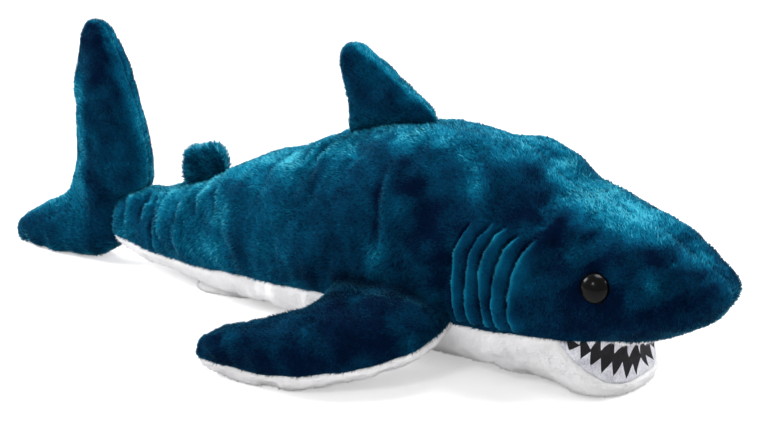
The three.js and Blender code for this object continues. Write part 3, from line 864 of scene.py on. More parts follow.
class Pile:
    """Grows the combed fibres of a plush on a panel."""

    SIDES = 3
    SINK = 0.5
    JITTER = 0.4
    COHERENCE = 0.74
    COLUMNS = 48
    CLUMP = 2.6
    FLOOR = 0.15
    SHORTEST, LONGEST = 0.65, 1.2
    # How varied the fibres' tones are on the deepest nap, and how much more on lighter nap
    VARIED, MORE_VARIED = 0.5, 1.5
    # A fibre on its map: half its width in columns, the strip free below its root, and its length
    ASIDE, MARGIN, HIGH = 0.36, 0.02, 0.96
    HELD = ("tone", "rise", "lay", "cover", "long", "gills", "folds")

    def __init__(self, plush: Plush) -> None:
        """Keeps the plush whose fibres are grown."""
        self.plush = plush

    def tree(self, seed: int) -> NodeTree:
        """The node tree that scatters fibres over a surface along its combed direction.

        Args:
            seed: the number that the scatter starts from.

        Returns:
            The geometry node tree.
        """
        plush = self.plush
        tree = bpy.data.node_groups.new("Pile", "GeometryNodeTree")
        tree.is_modifier = True
        for way in ("INPUT", "OUTPUT"):
            tree.interface.new_socket("Geometry", in_out=way, socket_type="NodeSocketGeometry")
        nodes = Nodes(tree)
        scatter = nodes.add("GeometryNodeDistributePointsOnFaces", {
            "Mesh": nodes.add("NodeGroupInput").outputs[0], "Seed": seed,
            "Density": nodes.math("MULTIPLY", nodes.held("cover"), plush.density / MM**2),
        }).outputs
        upright = nodes.scaled(scatter["Normal"], 1 - plush.lean)
        lay = nodes.scaled(nodes.held("lay", "FLOAT_VECTOR"), plush.lean)
        stray = nodes.add("FunctionNodeRandomValue", {
            "Min": (-self.JITTER,) * 3, "Max": (self.JITTER,) * 3, "Seed": seed + 1,
        }, data_type="FLOAT_VECTOR").outputs["Value"]
        heading = nodes.added(nodes.added(upright, lay), stray)
        turn = nodes.add("FunctionNodeAlignRotationToVector", {"Vector": heading}, axis="Z")
        sunk = nodes.add("GeometryNodeSetPosition", {
            "Geometry": scatter["Points"], "Offset": nodes.scaled(scatter["Normal"], -self.SINK * MM),
        }).outputs["Geometry"]
        tone = nodes.held("tone")
        spread = nodes.math("ADD", nodes.math("MULTIPLY", tone, self.MORE_VARIED), self.VARIED)
        own = nodes.math("ADD", nodes.random(-plush.varied, plush.varied, seed + 2), self.clump(nodes))
        toned = nodes.kept(sunk, "tone", nodes.math("ADD", tone, nodes.math("MULTIPLY", spread, own)))
        facing = nodes.kept(toned, "facing", scatter["Normal"], "FLOAT_VECTOR")
        own_length = nodes.random(self.SHORTEST, self.LONGEST, seed + 3)
        long = nodes.math("MULTIPLY", nodes.held("long"), own_length)
        placed = nodes.add("GeometryNodeInstanceOnPoints", {
            "Points": facing, "Instance": self.strand(nodes), "Scale": long,
            "Rotation": turn.outputs["Rotation"],
        }).outputs["Instances"]
        real = nodes.add("GeometryNodeRealizeInstances", {"Geometry": placed}).outputs["Geometry"]
        nodes.add("NodeGroupOutput", {0: real})
        return tree

    def clump(self, nodes: Nodes) -> Socket:
        """How much lighter or darker a small clump of fibres is than the nap round it."""
        place = nodes.add("GeometryNodeInputPosition").outputs["Position"]
        grains = nodes.noise(place, 1 / (self.CLUMP * MM), Detail=1)
        return nodes.math("MULTIPLY", nodes.math("SUBTRACT", grains, 0.5), self.plush.clumps)

    def strand(self, nodes: Nodes) -> Socket:
        """One tapered fibre lock that knows how high each of its points is."""
        length = self.plush.length * MM
        cone = nodes.add("GeometryNodeMeshCone", {
            "Vertices": self.SIDES, "Side Segments": 1, "Radius Top": 0,
            "Radius Bottom": self.plush.width * MM, "Depth": length,
        }, fill_type="NGON").outputs["Mesh"]
        soft = nodes.add("GeometryNodeSetShadeSmooth", {"Geometry": cone}).outputs["Geometry"]
        place = nodes.add("GeometryNodeInputPosition").outputs["Position"]
        height = nodes.add("ShaderNodeSeparateXYZ", {"Vector": place}).outputs["Z"]
        return nodes.kept(soft, "rise", nodes.math("DIVIDE", height, length))

    def grow(self, name: str, ground: Piece, seed: int, attach: Attach) -> None:
        """Grows fibres on a panel's outside as a piece of their own.

        Args:
            name: the pile's name.
            ground: the panel, with its tone, cover, lay and long values.
            seed: the number that the scatter starts from.
            attach: ties the pile to the body or bodies that its panel moves with.
        """
        grown = bpy.data.objects.new(name, ground.data.copy())
        bpy.context.scene.collection.objects.link(grown)
        fibres = grown.modifiers.new("Pile", "NODES")
        fibres.node_group = self.tree(seed)
        apply_modifiers(grown)
        bpy.data.node_groups.remove(bpy.data.node_groups["Pile"])
        press(grown, self.FLOOR)
        self.chart(grown.data)
        self.soften(grown.data)
        wear(grown, self.plush.fibre())
        attach(grown)
        log.info("%s: %d faces", name, len(grown.data.polygons))

    def soften(self, mesh: Mesh) -> None:
        """Turns the fibres' shading most of the way to the cloth's, so that the pile looks dense."""
        facing = rows_of(mesh.attributes["facing"].data, "vector")
        mixed = self.COHERENCE * facing + (1 - self.COHERENCE) * normals_of(mesh)
        mixed /= np.maximum(np.linalg.norm(mixed, axis=1), 1e-6)[:, None]
        mesh.attributes.remove(mesh.attributes["facing"])
        mesh.normals_split_custom_set_from_vertices(mixed)

    def chart(self, mesh: Mesh) -> None:
        """Maps each fibre to the column of its tone, root at the bottom and tip at the top."""
        tone, rise = read(mesh, "tone"), read(mesh, "rise")
        column = np.clip(np.floor(tone * self.COLUMNS), 0, self.COLUMNS - 1)
        order = np.arange(len(tone)) % (self.SIDES + 1)
        aside = (order % self.SIDES - 1) * self.ASIDE
        up = self.MARGIN + self.HIGH * rise + self.MARGIN * (order == 1)
        flat = np.stack([(column + 0.5 + aside) / self.COLUMNS, up], 1)
        write_map(mesh, "OFBake", np.clip(flat, 0, 1))
        for spare in [held.name for held in mesh.attributes if held.name in self.HELD]:
            mesh.attributes.remove(mesh.attributes[spare])


WHITE_TONE = 0.78
# The drifts of the nap's tone and combed direction, each with its strength
TONE_DRIFT, TONE_DRIFTS = 0.05, Waves(11, 95)
TONE_FLECK, TONE_FLECKS = 0.045, Waves(12, 26, 36)
TONE_PATCH, TONE_PATCHES = 0.12, Waves(15, 60)
COMB_DRIFT, COMB_DRIFTS = 0.35, Waves(13, 120)
COMB_FLECK, COMB_FLECKS = 0.2, Waves(14, 34)
LENGTH_FLECK = 0.08
PATCH_FROM, PATCH_EDGE = 0.9, 0.7


def comb(mesh: Mesh, way: Sequence[float], tone: Array,
         bare: Array | float = 0.0, short: Array | float = 0.0) -> None:
    """Gives a panel its tone, its combed direction and how long and dense its pile is.

    Args:
        mesh: the panel's outside.
        way: the direction that the pile is combed in.
        tone: how light the nap is at each point, from 0 to 1.
        bare: 1 at points where nothing grows.
        short: how much shorter the pile is than elsewhere, as a share.
    """
    points, normals = coords_of(mesh), normals_of(mesh)
    way = np.array(way, float)
    flat = way - normals * (normals @ way)[:, None]
    flat /= np.maximum(np.linalg.norm(flat, axis=1), 0.05)[:, None]
    across = np.cross(normals, flat)
    fleck = COMB_FLECKS(points)
    turn = COMB_DRIFT * COMB_DRIFTS(points) + COMB_FLECK * fleck
    brushed = eased((TONE_PATCHES(points) - PATCH_FROM) / PATCH_EDGE)
    tone = tone + TONE_DRIFT * TONE_DRIFTS(points) + TONE_FLECK * TONE_FLECKS(points) + TONE_PATCH * brushed
    write(mesh, "lay", flat * np.cos(turn)[:, None] + across * np.sin(turn)[:, None])
    write(mesh, "tone", tone)
    write(mesh, "cover", np.ones(len(points)) - bare)
    write(mesh, "long", (1 + LENGTH_FLECK * fleck) * (1 - short))


# Sub-assemblies


class Station(NamedTuple):
    """One section of the body: heights of its back, underside and widest line, half width."""

    x: float
    back: float
    belly: float
    widest: float
    half: float


class Side(Enum):
    """The two flanks, by the sign of y."""

    LEFT = 1
    RIGHT = -1


@dataclass
class Body:
    """The stuffed head and body with its lower jaw."""

    stations: tuple[Station, ...] = (
        Station(-300, 79, 22, 48, 27), Station(-255, 90, 14, 50, 36), Station(-200, 108, 9, 57, 49),
        Station(-110, 152, 7, 75, 69), Station(0, 194, 0, 91, 85), Station(75, 210, 2, 97, 90),
        Station(150, 207.5, 5, 98, 89), Station(205, 181.5, 16, 99, 84), Station(240, 170, 44, 99, 78),
        Station(285, 156.5, 50, 101, 66), Station(330, 133.5, 70, 104, 45), Station(364, 114, 97.5, 105, 19),
    )
    nose_round: float = 14
    back_power: float = 2
    belly_power: float = 2.6
    jaw_start: float = 110
    jaw_front: float = 270
    jaw_bow: float = 60
    jaw_half: float = 71
    throat_half: float = 58
    throat_lift: float = 5
    throat_power: float = 2
    square_start: float = 223
    square_length: float = 50
    jaw_top: float = 82
    jaw_widest: float = 36
    jaw_plan_power: float = 2.6
    chin_power: float = 6
    jaw_top_power: float = 3
    jaw_lean: float = 0.06
    lip: float = 12
    lip_level: float = 9
    lip_width: float = 12
    chin_round: float = 5
    chin_lift: float = 1
    jaw_pad: float = 2.4
    belly_pad: float = 1.4
    tail_round: float = 11
    tail_reach: float = 5
    seam_line: tuple[tuple[float, float], ...] = (
        (-300, 37), (-240, 33), (-180, 36), (-120, 42), (-60, 48), (0, 53), (70, 54), (140, 54),
        (208, 57), (232, 57), (265, 58), (300, 60), (330, 64), (350, 76),
    )
    mouth_edge: tuple[tuple[float, float], ...] = (
        (228, 64), (233, 53), (246, 38), (259, 25.5), (267, 18.5), (276, 14.5), (330, 12),
    )
    palate_start: float = 271
    skin_inset: float = 2.2
    wadding_inset: float = 9

    SIDES, RINGS, NOSE_RINGS = 72, 130, 9
    JAW_SIDES, JAW_RINGS = 64, 60
    BARE_HEIGHT, BARE_SHARE = 1.5, 0.75
    PITCH, WADDING_PITCH, SMOOTHED = 5.0, 9.0, 6
    FLOOR = 1.2
    SWELL = 3.0
    FILL = 0.75
    PILE_SPLIT = 60
    COMBED = (-1, 0, -0.45)
    GILL_REACH = 12
    # The plush's drift, calmed on the jaw and near the floor
    DRIFT, DRIFTS = 1.3, Waves(5, 70)
    RIPPLE, RIPPLES = 0.5, Waves(6, 28)
    JAW_CALM, CALM_HEIGHT = 0.8, 20
    JAW_FROM, JAW_FROM_EDGE, JAW_BELOW, JAW_BELOW_EDGE = 205, 20, 78, 14
    SOCKET, SOCKET_RADIUS = 1.4, 17
    # Least width and depth of the rounded tail end, and what its rounding adds, as shares
    TAIL_WIDTH, TAIL_DEPTH = (0.4, 0.6), (0.82, 0.18)
    # Tones of the blue nap: its own, the painted highlights that its top and its rear add, and the painted
    # highlight on crests and painted shade in hollows of the tucks and folds
    TONE, TOP_TONE, REAR_TONE = 0.155, 0.33, 0.19
    GILL_TONES, FOLD_TONES = (0.6, 0.12), (0.32, 0.2)
    # Where the top's painted highlight starts by the upward part of the normal, and where the rear's starts
    TOP_FROM, TOP_EDGE, REAR_FROM, REAR_EDGE = 0.68, 0.3, -10, 90
    # Heights of a full crest and a full hollow, and how sharply a crest's painted highlight rises
    GILL_HEIGHTS, FOLD_HEIGHTS = (4.8, 1.5, 2.5), (4, 1.8, 1.6)
    # How much shorter the pile is where a gill tuck moves the plush by TRIM_HEIGHT or more
    TRIM, TRIM_HEIGHT = 0.5, 1.5
    SPOT_SPREAD = 1.1

    def __post_init__(self) -> None:
        """Draws the smooth curves through the stations."""
        self.back, self.belly, self.widest, self.half = curves(self.stations)
        self.seam = Smooth(self.seam_line)

    def side_at(self, x: Array, z: Array) -> Array:
        """Half width of the body at places along it and heights."""
        widest, back, belly = self.widest(x), self.back(x), self.belly(x)
        upper = bow((z - widest) / (back - widest), self.back_power)
        lower = bow((widest - z) / (widest - belly), self.belly_power)
        return self.half(x) * np.where(z > widest, upper, lower)

    def underside_at(self, x: Array, y: Array) -> Array:
        """Height of the snout's and body's underside."""
        widest = self.widest(x)
        return widest - (widest - self.belly(x)) * bow(y / self.half(x), self.belly_power)

    def body_form(self, inset: float) -> BMesh:
        """The body and snout, drawn in from the outside of the pile."""
        start, end = self.stations[0].x - self.tail_reach + inset * 0.5, self.stations[-1].x - inset
        nose = end - self.nose_round * (1 - np.sin(np.linspace(0, math.pi / 2, self.NOSE_RINGS)))
        along = np.linspace(start, end - self.nose_round, self.RINGS)[:-1]
        places = np.concatenate([along, nose])

        def place(across: Array, level: Array, ring: Array) -> Array:
            x = places[ring]
            into_nose = np.maximum(0, (x - (end - self.nose_round)) / self.nose_round)
            blunt = np.maximum(bow(into_nose, 2), 0.03)
            widest = self.widest(x)
            puffed = bow(np.clip(1 - (x - start) / self.tail_round, 0, 1), 2)
            least, more = self.TAIL_WIDTH
            half = (self.half(x) - inset) * blunt * (least + more * puffed)
            least, more = self.TAIL_DEPTH
            blunt = blunt * (least + more * puffed)
            up = level > 0
            power = np.where(up, self.back_power, self.belly_power)
            reach = np.where(up, self.back(x) - widest, widest - self.belly(x) + self.belly_pad) - inset
            z = widest + reach * blunt * rounded(level, power)
            return np.stack([x, half * rounded(across, power), z], 1)

        return lofted(self.SIDES, len(places), place)

    def jaw_form(self, inset: float) -> BMesh:
        """The lower jaw, a little fuller than the same inset makes it."""
        inset -= self.jaw_pad
        length = self.jaw_front - self.jaw_start
        share = np.sin(np.linspace(0, math.pi / 2, self.JAW_RINGS))
        places = self.jaw_start + (self.jaw_front - inset - self.jaw_start) * share

        def place(across: Array, level: Array, ring: Array) -> Array:
            x = places[ring]
            into_bow = np.maximum(0, (x - (self.jaw_front - self.jaw_bow)) / (self.jaw_bow - inset))
            into_chin = np.clip((x - (self.jaw_front - self.chin_round)) / self.chin_round, 0, 1)
            widened = np.minimum((x - self.jaw_start) / (self.jaw_front - self.jaw_bow - self.jaw_start), 1)
            full = self.throat_half + (self.jaw_half - self.throat_half) * widened
            half = np.maximum((full - inset) * bow(into_bow, self.jaw_plan_power), 2)
            up = level > 0
            square = np.clip((x - self.square_start) / self.square_length, 0, 1)
            low_power = self.throat_power + (self.chin_power - self.throat_power) * square
            power = np.where(up, self.jaw_top_power, low_power)
            top = self.jaw_top - inset
            floor = inset + self.chin_lift * (1 - bow(into_chin, 2)) + self.throat_lift * (1 - widened)
            reach = np.where(up, top - self.jaw_widest, self.jaw_widest - floor)
            z = self.jaw_widest + reach * rounded(level, power)
            share = (x - self.jaw_start) / length
            lip = self.lip * np.exp(-(((z - self.lip_level) / self.lip_width) ** 2)) * share**6
            ahead = self.jaw_lean * share**2 * (z - self.jaw_widest / 2) + lip
            return np.stack([x + ahead, half * rounded(across, power), z], 1)

        return lofted(self.JAW_SIDES, len(places), place)

    def whole_form(self, name: str, inset: float, pitch: float) -> Piece:
        """Body and jaw as one closed skin that rests flat on the floor.

        Args:
            name: name of the object.
            inset: how far inside the tips of the pile it lies.
            pitch: size of its faces.

        Returns:
            The form.
        """
        made = new_object(name, joined([self.body_form(inset), self.jaw_form(inset)]))
        remesh(made, pitch, self.SMOOTHED)
        press(made, self.FLOOR)
        return made

    def seam_field(self, points: Array) -> Array:
        """Positive above the seam between the blue back and the pale underside."""
        over = points[:, 2] - self.seam(points[:, 0])
        return np.where(points[:, 0] > self.seam_line[-1][0], 5.0, over)

    def mouth_field(self, points: Array) -> Array:
        """Positive on the mouth panel's side of its lower edge."""
        return signed_from(points[:, (0, 2)], self.mouth_edge)

    def palate_field(self, points: Array) -> Array:
        """Positive on the snout's underside, in front of the jaw."""
        under = self.underside_at(points[:, 0], points[:, 1]) + self.skin_inset
        return np.minimum(points[:, 0] - self.palate_start, points[:, 2] - under + 2.5)

    @staticmethod
    def attach(piece: Piece) -> None:
        """Lets a piece move with the body."""
        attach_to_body(piece, "body")

    def build(self) -> None:
        """Makes every panel of the body, its pile and its filling."""
        form = self.whole_form("body_form", self.skin_inset, self.PITCH)
        Cloth.swell(form, self.held_by_seams(coords_of(form.data)), self.SWELL)
        press(form, self.FLOOR)
        subdivide(form)
        self.refine(form, self.GILL_REACH)
        self.shape_folds(form)
        with edited(form.data) as bm:
            for field in (self.seam_field, lambda p: p[:, 1], self.mouth_field):
                cut_along(bm, field)
        for number, panel in enumerate(self.panels()):
            self.dress(form, panel, number)
        remove(form)
        wadding = self.whole_form("body_wadding", self.wadding_inset, self.WADDING_PITCH)
        Wadding.dress(wadding, "body_filling", self.attach)

    def held_by_seams(self, points: Array) -> Array:
        """How firmly the seams and the floor hold each point of the form."""
        free, reach = 99, 8
        x, y, z = points.T
        over = self.seam_field(points)
        spine = np.where(z > self.widest(x), np.abs(y), free)
        mouth = np.where(over < 0, np.abs(self.mouth_field(points)), free)
        floor = (z - 3) * 2
        tail = x - self.stations[0].x - 2
        jaw = np.where((x > 200) & (z < 75), 5, free)
        near = np.min([np.abs(over), spine, mouth, floor, tail, jaw], axis=0)
        return np.clip(1 - near / reach, 0, 1)

    @staticmethod
    def refine(form: Piece, reach: float) -> None:
        """Halves the faces along the gill tucks, so that their crests are crisp.

        Args:
            form: the body's form.
            reach: how far from a tuck the faces are halved.
        """
        with edited(form.data) as bm:
            on_right = points_of(bm)
            on_right[:, 1] = -np.abs(on_right[:, 1])
            close = np.zeros(len(on_right), bool)
            for gill in GILLS:
                line = np.array(gill.path, float)
                near = gill.near(on_right, line)
                offset = beside(on_right[near], line)[0]
                close[near] |= np.linalg.norm(offset, axis=1) < reach
            bm.verts.index_update()
            fine = [e for e in bm.edges if close[e.verts[0].index] and close[e.verts[1].index]]
            bmesh.ops.subdivide_edges(bm, edges=fine, cuts=1, use_grid_fill=True, smooth=0.6)

    def shape_folds(self, form: Piece) -> None:
        """Lifts the gill tucks and folds, sinks the eye sockets and adds the plush's drift."""
        points, normals = coords_of(form.data), normals_of(form.data)
        lift = self.DRIFT * self.DRIFTS(points) + self.RIPPLE * self.RIPPLES(points)
        lift *= eased(points[:, 2] / self.CALM_HEIGHT)
        ahead = eased((points[:, 0] - self.JAW_FROM) / self.JAW_FROM_EDGE)
        jaw = ahead * eased((self.JAW_BELOW - points[:, 2]) / self.JAW_BELOW_EDGE)
        lift *= 1 - self.JAW_CALM * jaw
        gills, folds = np.zeros(len(points)), np.zeros(len(points))
        for side in Side:
            gills += sum(gill.lift(points, normals, side.value) for gill in GILLS)
            folds += sum(fold.lift(points, normals, side.value) for fold in FOLDS)
            far = SafetyEye.from_eye(self, side, points)
            lift -= self.SOCKET * np.exp(-((far / self.SOCKET_RADIUS) ** 4))
        write(form.data, "gills", gills)
        write(form.data, "folds", folds)
        push_out(form.data, lift + gills + folds)

    def panels(self) -> tuple[Panel, ...]:
        """The body's sewn panels."""
        upper, mouth, palate = self.seam_field, self.mouth_field, self.palate_field

        def back(label: str, side: int) -> Panel:
            return Panel(f"back_plush_{label}", lambda p: np.minimum(upper(p), side * p[:, 1]),
                         f"back_skin_{label}", BLUE_PLUSH, f"back_pile_{label}")

        return (
            back("right", -1),
            back("left", 1),
            Panel("belly_plush", lambda p: np.min([-upper(p), -mouth(p), -palate(p)], axis=0),
                  "belly_skin", WHITE_PLUSH, "belly_pile"),
            Panel("snout_underside_plush", lambda p: np.minimum(-upper(p), palate(p)),
                  "snout_underside", WHITE_PLUSH, "snout_underside_pile"),
            Panel("mouth_print_panel", lambda p: np.min([-upper(p), mouth(p), -palate(p)], axis=0),
                  "mouth_panel", WHITE_PLUSH, None, 1.0, 1.0),
        )

    def dress(self, form: Piece, panel: Panel, number: int) -> None:
        """Makes one panel of the body and its pile.

        Args:
            form: the body's form, cut along its seams.
            panel: which panel.
            number: the panel's place in the order, which seeds its pile.
        """
        piece = panel.cut_from(form)
        if panel.pile_name is None:
            panel.finish(piece, MouthPrint(self).material(piece), "mouth_fabric", self.attach, self.FILL)
            return
        points, normals = coords_of(piece.data), normals_of(piece.data)
        gills, folds = read(piece.data, "gills"), read(piece.data, "folds")
        blue = panel.plush is BLUE_PLUSH
        tone = self.tone(points, normals, gills, folds) if blue else np.full(len(points), WHITE_TONE)
        trim = self.TRIM * eased(np.abs(gills) / self.TRIM_HEIGHT)
        comb(piece.data, self.COMBED, tone, self.bare(points), trim)
        pile, seed, split = Pile(panel.plush), 100 * number, self.PILE_SPLIT
        if blue:
            for label, keep in (("front", lambda p: p[:, 0] - split), ("rear", lambda p: split - p[:, 0])):
                half = part_of(piece, "part", keep)
                pile.grow(f"{panel.pile_name}_{label}", half, seed + len(label), self.attach)
                remove(half)
        else:
            pile.grow(panel.pile_name, piece, seed, self.attach)
        panel.finish(piece, panel.plush.backing(), panel.plush.slot, self.attach, self.FILL)

    @classmethod
    def tone(cls, points: Array, normals: Array, gills: Array, folds: Array) -> Array:
        """How light the blue nap is painted: highlights painted along the back, the rear and the crests,
        shade painted in the hollows, and brushed patches with painted sheen and shade, deep on the cheeks.

        Args:
            points: places on the panel, in millimetres.
            normals: the directions that they face in.
            gills: how far the gill tucks lift each place.
            folds: how far the folds lift it.

        Returns:
            One tone for each place.
        """
        # painted highlight on upward-facing nap and on the rear of the body
        tone = cls.TONE + cls.TOP_TONE * eased((normals[:, 2] - cls.TOP_FROM) / cls.TOP_EDGE)
        tone += cls.REAR_TONE * eased((cls.REAR_FROM - points[:, 0]) / cls.REAR_EDGE)
        mirrored = points * (1, -1, 1)
        # brushed nap patches, with painted sheen highlights and painted shade
        for spot, radius, change in BRUSHED:
            right, left = np.linalg.norm(points - spot, axis=1), np.linalg.norm(mirrored - spot, axis=1)
            nearer = np.minimum(right, left)
            tone += change * np.exp(-((nearer / (cls.SPOT_SPREAD * radius)) ** 2))
        # painted highlight on the gill crests and painted shade in their grooves
        crest, hollow = cls.GILL_TONES
        high, low, sharp = cls.GILL_HEIGHTS
        tone += crest * np.clip(gills / high, 0, 1) ** sharp - hollow * np.clip(-gills / low, 0, 1)
        # painted highlight on the fold crests and painted shade in their hollows
        crest, hollow = cls.FOLD_TONES
        high, low, sharp = cls.FOLD_HEIGHTS
        return tone + crest * np.clip(folds / high, 0, 1) ** sharp - hollow * np.clip(-folds / low, 0, 1)

    def bare(self, points: Array) -> Array:
        """1 where nothing grows: under the eyes' rims. Less grows where the belly is on the floor."""
        far = np.min([SafetyEye.from_eye(self, side, points) for side in Side], axis=0)
        under_eye = (far < SafetyEye.DOME + 0.3).astype(float)
        return np.maximum(under_eye, self.BARE_SHARE * (points[:, 2] < self.BARE_HEIGHT))


class Wadding:
    """Loose polyester fibre filling."""

    FILL = 0.7
    LUMP, LUMPS = 0.5, Waves(31, 22)

    @staticmethod
    @cache
    def material() -> Material:
        """White matted fibres."""
        material, nodes, surface = blank_material("wadding")
        mottle, relief = nodes.nap(260)
        colour = nodes.ramp(mottle, ((0.62, 0.61, 0.58), (0.88, 0.87, 0.84)), (0.3, 0.7))
        nodes.feed(surface, {"Base Color": colour, "Normal": relief(1, 0.003), "Roughness": 1})
        return material

    @classmethod
    def dress(cls, piece: Piece, node: str, attach: Attach) -> None:
        """Lumps a filling a little and gives it its fibres.

        Args:
            piece: the filling's form.
            node: the solid that it stands for.
            attach: ties the piece to the body or bodies that it moves with.
        """
        push_out(piece.data, cls.LUMP * cls.LUMPS(coords_of(piece.data)))
        piece.data.shade_smooth()
        wear(piece, cls.material())
        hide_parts(node)
        attach(piece)
        log.info("%s: %d faces", piece.name, len(piece.data.polygons))


@dataclass
class MouthPrint:
    """The printed teeth on the mouth panel, along the bow of the jaw."""

    CENTRE = 198.0
    WIDE, HIGH = 90, 80
    body: Body

    def material(self, piece: Piece) -> Material:
        """The smooth panel with its print, drawn on the piece's own map.

        Args:
            piece: the mouth panel's outside.

        Returns:
            The material.
        """
        self.chart(piece.data)
        material, nodes, surface = blank_material("mouth_print")
        chart = nodes.add("ShaderNodeUVMap", uv_map="Print").outputs["UV"]
        place = nodes.add("ShaderNodeSeparateXYZ", {"Vector": chart}).outputs
        below = nodes.math("LESS_THAN", place["Y"], self.edge(nodes, place["X"], UPPER_EDGE))
        above = nodes.math("GREATER_THAN", place["Y"], self.edge(nodes, place["X"], LOWER_EDGE))
        mottle, relief = nodes.nap(1100)
        ground = nodes.ramp(mottle, ((0.36, 0.36, 0.42), (0.72, 0.72, 0.76)), (0.36, 0.6))
        ink = nodes.ramp(mottle, ((0.006, 0.006, 0.008), (0.022, 0.022, 0.026)), (0.3, 0.8))
        colour = nodes.mixed(nodes.math("MULTIPLY", below, above), ground, ink)
        nodes.feed(surface, {
            "Base Color": colour, "Normal": relief(0.5, 0.0003), "Roughness": 0.8, "Specular IOR Level": 0.15,
        })
        return material

    def chart(self, mesh: Mesh) -> None:
        """Maps each point by its angle round the jaw's bow and its height."""
        x, y, z = coords_of(mesh).T
        ahead = x - self.body.jaw_lean * (z - self.body.jaw_widest / 2) - self.CENTRE
        angle = np.degrees(np.arctan2(np.abs(y), ahead))
        write_map(mesh, "Print", np.stack([angle / self.WIDE, z / self.HIGH], 1))

    def edge(self, nodes: Nodes, along: Socket, points: Sequence[tuple[float, float]]) -> Socket:
        """A zigzag height along the panel through (angle, height) points."""
        node = nodes.add("ShaderNodeFloatCurve", {"Value": along})
        curve = node.mapping.curves[0]
        while len(curve.points) < len(points):
            curve.points.new(0.5, 0.5)
        for point, (angle, height) in zip(curve.points, points):
            point.location = (angle / self.WIDE, height / self.HIGH)
            point.handle_type = "VECTOR"
        node.mapping.update()
        return node.outputs["Value"]


# The black print's edges round the jaw: angle from the front in degrees, height in millimetres
UPPER_EDGE = (
    (0, 32), (2.6, 45.3), (12.2, 33.5), (18.1, 52.6), (27.1, 42.5), (30.7, 59.7), (38, 48.5), (40.2, 63.4),
    (45, 50.6), (50.2, 63), (52.3, 54.7), (58.4, 59.7), (61.1, 61.1), (63.7, 58.5), (90, 58.5),
)
LOWER_EDGE = (
    (0, 28.8), (8.7, 16), (8.9, 26.9), (18.8, 17.3), (19.1, 32.3), (28.4, 22.3), (28.7, 35.6), (37.1, 27.1),
    (37.4, 41.3), (44.6, 35.2), (44.9, 48.8), (51.2, 41.9), (51.5, 54.3), (58.6, 49.7), (61.1, 59.3),
    (63.7, 58.7), (90, 58.7),
)


